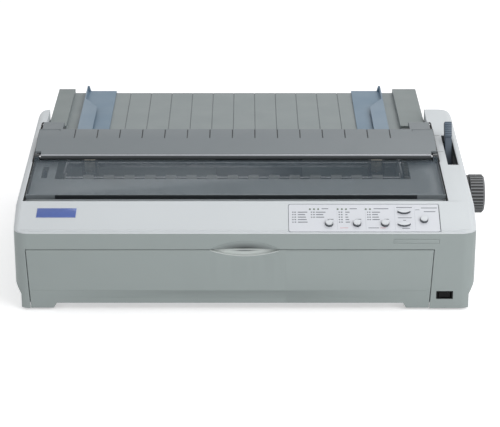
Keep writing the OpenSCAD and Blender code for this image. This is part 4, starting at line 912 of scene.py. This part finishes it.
def add_badge(inset, low, high):
    """A slightly leaning plate on the band."""
    plate = add_block((BADGE_X + inset, BADGE_S0 + inset, low),
                      (BADGE_X + BADGE_W - inset, BADGE_S1 - inset, high), on_band, edge=0.2)
    for vertex in plate.data.vertices:
        vertex.co.x += (vertex.co.y - BADGE_S0 * MM) * BADGE_LEAN
    return plate


strip = add_block((STRIP_X0, 0.12, STRIP_Z0), (STRIP_X1, 0.7, STRIP_Z1), edge=0.2)
finish_piece([strip], "name_strip", case_grey, "case")
finish_piece([add_badge(0, 0.0, 0.75)], "badge_rim", badge_rim, "case", ["badge_plate"])
finish_piece([add_badge(BADGE_RIM, 0.3, 0.95)], "badge_face", badge_blue, "case")
print("strip and badge made")

# %% [markdown]
# The panel is a printed film in a shallow frame. Its print here is a pattern with no meaning, in
# the grey rhythm of such panels: rows of two short marks and a bar, a bar over each button, and
# faint lines between the groups. A picture on the film would need a file, so each bar is a very
# thin plate.

# %% Printed bars on the panel
PRINT_H, PRINT_Z = 0.06, 0.01       # thickness of the print, and where it starts over the band
ROW_TOP, ROW_PITCH = 36.9, 4.25
DOT_HALF, BAR_HALF = 0.8, 0.65
COLUMNS = (                   # left edge, rows, width of the two marks, start and end of the bar
    (62.2, 5, 5.0, 7.5, 20.1), (86.9, 3, 5.1, 6.8, 19.4),
    (123.5, 5, 5.2, 8.9, 14.6), (161.2, 4, 4.6, 6.5, 17.1))


def add_bars(bars, height=PRINT_H):
    """Thin plates as one mesh; each bar is x0, x1, s0, s1 in millimetres on the band."""
    piece = start_from(bpy.ops.mesh.primitive_cube_add, size=1)
    bpy.ops.object.mode_set(mode="EDIT")
    bpy.ops.mesh.delete(type="VERT")
    for x0, x1, s0, s1 in bars:
        bpy.ops.mesh.primitive_plane_add(size=1, location=(0, 0, 0))
        bpy.ops.transform.resize(value=((x1 - x0) * MM, (s1 - s0) * MM, 1))
        bpy.ops.transform.translate(value=((x0 + x1) / 2 * MM, (s0 + s1) / 2 * MM, PRINT_Z * MM))
        extrude(0, 0, height)
    return close_mesh(piece, on_band)


bars = []
for x, rows, dots, start, end in COLUMNS:
    for row in range(rows):
        s = ROW_TOP - ROW_PITCH * row
        uneven = (row * 3) % 4      # so that the bars end raggedly, as lines of print do
        bars += [(x, x + dots * 0.36, s - DOT_HALF, s + DOT_HALF),
                 (x + dots * 0.6, x + dots, s - DOT_HALF, s + DOT_HALF),
                 (x + start, x + end - uneven, s - BAR_HALF, s + BAR_HALF)]
bars += [(x0, x1, 42.2, 43.4) for x0, x1 in ((101.3, 110.1), (138.4, 148.0), (170.2, 189.7))]
bars += [(x0, x1, 24.2, 25.2) for x0, x1 in ((108.9, 116.5), (145.5, 153.2), (183.4, 189.7))]
bars += [(161.9, 175.8, 9.6, 10.6), (200.2, 221.0, 44.4, 45.5), (201.4, 219.6, 26.8, 27.8),
         (208.2, 212.0, 22.6, 23.5), (206.4, 216.4, 8.8, 9.8), (232.8, 254.0, 43.6, 44.7),
         (236.4, 251.7, 37.2, 38.3), (225.2, 230.6, 40.6, 41.4)]
faint = [(x - 0.15, x + 0.15, 7, 46) for x in (121.4, 158.8, 197.4, 223.9)]
red = [(124.8, 135.4, 9.6, 10.6), (176.8, 184.6, 9.6, 10.6)]
finish_piece([add_bars(bars)], "panel_marks", mark_grey, "case")
finish_piece([add_bars(faint)], "panel_dividers", mark_faint, "case")
finish_piece([add_bars(red)], "panel_red_marks", mark_red, "case")
print(len(bars) + len(faint) + len(red), "printed bars")

# %% [markdown]
# The film's edge shows as a thin dark line with rounded corners. A flat ring gives it: the points
# of a circle are pulled to the four corners of a rectangle, and the outline is extruded inwards and
# then up.

# %% Outline of the panel
PANEL_X0, PANEL_X1, PANEL_S0, PANEL_S1 = HALF_W - 248, HALF_W - 48, 3, 51
LINE_IN, LINE_W, CORNER_R = 0.2, 0.5, 3.2


def add_outline(x0, x1, s0, s1):
    """A thin rounded frame on the band."""
    piece = start_from(bpy.ops.mesh.primitive_circle_add, vertices=48, radius=CORNER_R * MM,
                       fill_type="NOTHING")
    half_x, half_s = (x1 - x0) / 2 - CORNER_R, (s1 - s0) / 2 - CORNER_R
    for vertex in piece.data.vertices:
        vertex.co.x += (half_x if vertex.co.x > 0 else -half_x) * MM
        vertex.co.y += (half_s if vertex.co.y > 0 else -half_s) * MM
    bpy.ops.object.mode_set(mode="EDIT")
    bpy.ops.mesh.select_all(action="SELECT")
    extrude(0, 0, 0)
    bpy.ops.transform.resize(value=(1 - LINE_W * 2 / (x1 - x0), 1 - LINE_W * 2 / (s1 - s0), 1))
    bpy.ops.mesh.select_all(action="SELECT")
    extrude(0, 0, PRINT_H)
    return close_mesh(piece, on_band @ Matrix.Translation(
        ((x0 + x1) / 2 * MM, (s0 + s1) / 2 * MM, PRINT_Z * MM)))


outline = add_outline(PANEL_X0 + LINE_IN, PANEL_X1 - LINE_IN, PANEL_S0 + LINE_IN,
                      PANEL_S1 - LINE_IN)
finish_piece([outline], "panel_outline", mark_grey, "case")
end_line = add_bars([(PANEL_X1 - 1.0, PANEL_X1 - 0.3, PANEL_S0 + 4, PANEL_S1 - 4)], height=0.1)
finish_piece([end_line], "panel_end_line", shade_grey, "case")
print("panel outline made")

# %% [markdown]
# The release lever ends in a cap, a rounded block on its tip, so that a finger finds it. Six thin
# ribs across its front and a thin plate on its end are lighter than the cap.

# %% Cap and ribs of the release lever
lever_low, lever_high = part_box("release_lever")
LEVER_X = ((lever_low.x + lever_high.x) / 2 - CASE_MIDDLE_X) / MM
LEVER_Y, LEVER_Z, LEVER_LEAN, LEVER_LEN = 212, 118, radians(25), 74
RIB_COUNT, RIB_PITCH, RIB_HALF = 6, 3.2, 4.6
on_lever = tilted_place(LEVER_X, LEVER_Y, LEVER_Z, -LEVER_LEAN)

cap = add_block((-5.2, -5.8, LEVER_LEN - 21), (5.2, 5.8, LEVER_LEN + 0.1), on_lever, edge=1.0)
finish_piece([cap], "release_lever_cap", lever_blue, "release_lever")
rib_z = [LEVER_LEN - 19.5 + RIB_PITCH * i for i in range(RIB_COUNT)]
ribs = [add_block((-RIB_HALF, -6.4, z), (RIB_HALF, -5.4, z + 1.5), on_lever, edge=0.35)
        for z in rib_z]
ribs.append(add_block((-RIB_HALF, -5.0, LEVER_LEN - 0.4), (RIB_HALF, 5.0, LEVER_LEN + 0.35),
                      on_lever, edge=0.3))
finish_piece(ribs, "release_lever_ribs", cap_blue, "release_lever")
print("lever cap made, with", len(ribs), "ribs and plates")

# %% [markdown]
# Each paper guide has an upright ear at its back end, to push it by. It is a block with soft edges
# whose top is narrower and leans to the outer side, in the lighter blue that is painted as light on
# the flanges.

# %% Ears of the guides
EAR_IN, EAR_W, EAR_TOP = 18, 6.0, 8
EAR_S0, EAR_S1 = 143.2, 146.8

for side, x, mirror in (("left", TRAY_X0 + EAR_IN, 1), ("right", TRAY_X1 - EAR_IN, -1)):
    far = x + EAR_W * mirror
    ear = add_block((min(x, far), EAR_S0, 1.5), (max(x, far), EAR_S1, 11.0), on_tray, edge=1.2,
                    segments=3)
    middle = (x + 1.3 * mirror) * MM
    for vertex in ear.data.vertices:
        if vertex.co.z > EAR_TOP * MM:
            vertex.co.x = middle + (vertex.co.x - middle) * 0.6
    guide = "edge_guide_" + side
    finish_piece([ear], guide + "_ear", guide_blue_lit, guide)
print("guide ears made")

# %% [markdown]
# Dark strips are put where the gaps round the window and the paper cover lie in shade, as painted
# shade in solid form: one lies low in the finger gap, and a thin one runs up the deck at each end of
# the cover. The narrow strip of case at the right has two fine joints across it, which are only dark
# lines.

# %% Shade strips and joint lines
SHADE_STRIP_W = 1.7
on_deck = tilted_place(0, NOSE_Y, deck_z(NOSE_Y),
                       atan2(deck_z(DECK_Y1) - deck_z(NOSE_Y), DECK_Y1 - NOSE_Y))

# a dark strip where the finger gap lies in shade: painted shade
gap_shade = add_block((COVER_X0 + 14, BAND_RUN + 1, 113), (COVER_X1 - 14, FLAP_Y0 - 0.5, 121),
                 edge=1.2)
finish_piece([gap_shade], "gap_shade_strip", rubber, "case")
# dark strips along the cover's ends: painted shade of the gaps
side_shades = [add_block((x, -8, -0.8), (x + SHADE_STRIP_W, 126, 0.15), on_deck, edge=0.3)
         for x in (COVER_X0 - 2.3, COVER_X1 + 0.6)]
finish_piece(side_shades, "cover_gap_shades", rubber, "case")
lines = [add_block((COVER_X1 + 2.6, y - NOSE_Y, -0.6), (WELL_X0 - 0.2, y - NOSE_Y + 0.7, 0.08),
                   on_deck, edge=0.1) for y in (203, 258)]
finish_piece(lines, "strip_joints", shade_grey, "case")
print("shade strips and joint lines made")

# %% [markdown]
# The ribbon cartridge carries two pale hubs on top, where its ribbon is wound. Each is a turned
# piece: a low drum with a hole in its top, drawn as rings from its foot, up over the rim and down
# into the hole.

# %% Ribbon hubs
HUB_APART, HUB_IN = 24, 7
HUB_RINGS = ((0, 5), (1.6, 5), (2, 4.6), (2, 1.8), (0.6, 1.6))

cartridge_low, cartridge_high = case_box("ribbon_cartridge")
hub_x = (cartridge_low.x + cartridge_high.x) / 2
hubs = [add_turned((hub_x + offset, cartridge_low.y + HUB_IN, cartridge_high.z - 0.3),
                   HUB_RINGS, sides=24) for offset in (-HUB_APART / 2, HUB_APART / 2)]
finish_piece(hubs, "ribbon_hubs", acetal, "carriage")
print(len(hubs), "ribbon hubs made")

# %% [markdown]
# The main board is one solid with its parts on it. All that stands over the bare board is painted
# black, and then the long connector pale and the tops of the capacitors bright, each by its place.
# The three chips get steel legs: each is a thin block that runs through the foot of the chip and
# shows as a leg on both sides.

# %% Parts of the main board
board_low, board_high = case_box("main_board")
BOARD_TOP = board_high.z - 20.4     # the tallest part stands 20.4 mm over the bare board
LEG_PITCH, LEG_OUT = 4, 1.2
CHIPS = (                     # left edge, front edge, width, depth, height
    (board_low.x + 30, board_low.y + 40, 32, 32, 2.8),
    (board_low.x + 90, board_low.y + 36, 40, 16, 4),
    (board_low.x + 90, board_low.y + 66, 40, 16, 4))


def board_part(spot, normal):
    """All that stands over the bare board."""
    return spot.z > BOARD_TOP + 0.2


def board_connector(spot, normal):
    """The long connector at the back, in the left half."""
    return board_part(spot, normal) and spot.y > board_low.y + 96 and spot.x < board_low.x + 90


def can_top(spot, normal):
    """The top faces of the capacitors."""
    return normal.z > 0.9 and spot.z > BOARD_TOP + 12 and spot.x > board_low.x + 90


legs = [add_block((x + 1.4 + LEG_PITCH * i, y - LEG_OUT, BOARD_TOP - 0.1),
                  (x + 2.6 + LEG_PITCH * i, y + depth + LEG_OUT, BOARD_TOP + height * 0.45),
                  edge=0.2)
        for x, y, width, depth, height in CHIPS for i in range(int(width / LEG_PITCH))]
finish_piece(legs, "chip_legs", bright_steel, "case")
paint_faces(frame["nodes"]["main_board"], (
    (black_plastic, board_part), (acetal, board_connector), (bright_steel, can_top)))
print(len(legs), "pairs of chip legs made")

# %% [markdown]
# Behind the vents at the back a dark screen keeps dust out and stops the eye. It is one thin
# block.

# %% Dust screen
screen = add_block((-44, 344.5, 58), (86, 346.5, 97), edge=0.6)
finish_piece([screen], "vent_screen", rubber, "case")
print("dust screen made")

# %% [markdown]
# The knob is a grey moulding with grips that run along it. The valleys between them and the knob's
# inner end lie in shade, which is painted nearly black. Its end is sunk inside a rim, by one inset
# that leaves the rim and a second that goes down. A dark turned collar between it and the case
# stands in for the shadow in that gap.

# %% Knob valleys, sunk face and collar
PLATEN_Y, PLATEN_Z = 178, 101
KNOB_X0, KNOB_R, KNOB_NECK = HALF_W + 5, 27, 3.9
COLLAR_RINGS = ((0, 23), (0.6, 25.5), (6.4, 26.2), (7.6, 25.2))


def knob_valley(spot, normal):
    """The valleys, just inside the knob's full radius, which get painted shade."""
    out = from_axis(spot, PLATEN_Y, PLATEN_Z)
    return abs(normal.x) < 0.3 and KNOB_R - 1.6 < out < KNOB_R - 0.12


def knob_neck(spot, normal):
    """The knob's inner end, in the shade of the case."""
    return spot.x < KNOB_X0 + KNOB_NECK


knob = moulding["platen_knob"]
# valleys and inner end painted black as shade
paint_faces(knob, ((black_plastic, knob_valley), (black_plastic, knob_neck)))
select_only(knob)
bpy.ops.object.mode_set(mode="EDIT")
bpy.ops.mesh.select_all(action="DESELECT")
bpy.ops.object.mode_set(mode="OBJECT")
end_x = max((to_case @ vertex.co).x for vertex in knob.data.vertices)
for face in knob.data.polygons:
    face.select = (to_case @ face.center).x > end_x - 0.05 * MM and face.normal.x > 0.99
print("knob faces to sink:", sum(face.select for face in knob.data.polygons))
bpy.ops.object.mode_set(mode="EDIT")
bpy.ops.mesh.inset(thickness=5 * MM, depth=0)
bpy.ops.mesh.inset(thickness=0.8 * MM, depth=-1.5 * MM)
bpy.ops.object.mode_set(mode="OBJECT")
# a dark collar that stands in for the shadow between the knob and the case
collar = add_turned((HALF_W + 0.8, PLATEN_Y, PLATEN_Z), COLLAR_RINGS, sides=64, turn=ALONG_X)
finish_piece([collar], "knob_shadow_collar", black_plastic, "platen")
print("knob dressed")

# %% [markdown]
# The studio is plain: a pale floor that keeps a soft shadow, a bright even world, and three broad
# lamps. The floor and the world look nearly white to the camera and to reflections, but that white
# is added only for those rays, so it puts no more light on the machine.

# %% Floor and world
FLOOR_LIFT = 0.46
WORLD_LIGHT, WORLD_SEEN = 0.5, 1.0  # strength as light on surfaces, and as the camera sees it


def ray_share(tree):
    """1 for the camera's rays and for reflected and refracted ones, 0 for light on a surface."""
    rays = tree.nodes.new("ShaderNodeLightPath")
    total = rays.outputs["Is Camera Ray"]
    for kind in ("Is Glossy Ray", "Is Transmission Ray"):
        both = tree.nodes.new("ShaderNodeMath")
        both.operation = "MAXIMUM"
        tree.links.new(total, both.inputs[0])
        tree.links.new(rays.outputs[kind], both.inputs[1])
        total = both.outputs[0]
    return total


def studio_floor():
    """A pale floor, lifted towards white only where the camera or a reflection sees it."""
    bpy.ops.object.select_all(action="DESELECT")
    bpy.ops.mesh.primitive_plane_add(size=14, location=(0, 2.5, 0))
    floor = bpy.context.object
    floor.name = "studio_floor"
    material, tree, shader = new_material("pale_floor")
    set_inputs(shader, Base_Color=(0.86, 0.86, 0.87, 1), Roughness=0.9,
               Emission_Color=(1, 1, 1, 1))
    lift = tree.nodes.new("ShaderNodeMath")
    lift.operation = "MULTIPLY"
    lift.inputs[1].default_value = FLOOR_LIFT
    tree.links.new(ray_share(tree), lift.inputs[0])
    tree.links.new(lift.outputs[0], shader.inputs["Emission Strength"])
    floor.data.materials.append(material)
    return floor


studio_floor()
world = bpy.data.worlds.new("studio")
bpy.context.scene.world = world
world.use_nodes = True
sky = world.node_tree
strength = add_node(sky, "ShaderNodeMapRange", To_Min=WORLD_LIGHT, To_Max=WORLD_SEEN)
sky.links.new(ray_share(sky), strength.inputs["Value"])
sky.links.new(strength.outputs["Result"], sky.nodes["Background"].inputs["Strength"])
set_inputs(sky.nodes["Background"], Color=(1, 1, 1, 1))
print("floor and world ready")

# %% [markdown]
# The strongest lamp stands at the right in front, a weak one at the left fills the shadows, and one
# from above lights the deck. All are large, as windows and ceilings are, so no shadow is hard.

# %% Lamps
def lamp(name, location, target, size, watts):
    """A rectangular area lamp that looks at a point."""
    data = bpy.data.lights.new(name, "AREA")
    data.shape = "RECTANGLE"
    data.size, data.size_y = size
    data.energy = watts
    item = bpy.data.objects.new(name, data)
    item.location = location
    away = Vector(target) - Vector(location)
    item.rotation_euler = away.to_track_quat("-Z", "Y").to_euler()
    bpy.context.scene.collection.objects.link(item)


lamp("key", (1.5, -1.7, 1.4), (0, 0, 0.1), (1.4, 1.4), 24)
lamp("fill", (-1.3, -2.4, 1.3), (0, 0, 0.1), (1.6, 1.6), 8)
lamp("top", (0.8, 0.6, 2.0), (0.1, 0, 0.1), (1.6, 1.2), 12)
bpy.context.scene.view_settings.view_transform = "Standard"
print("lamps ready")
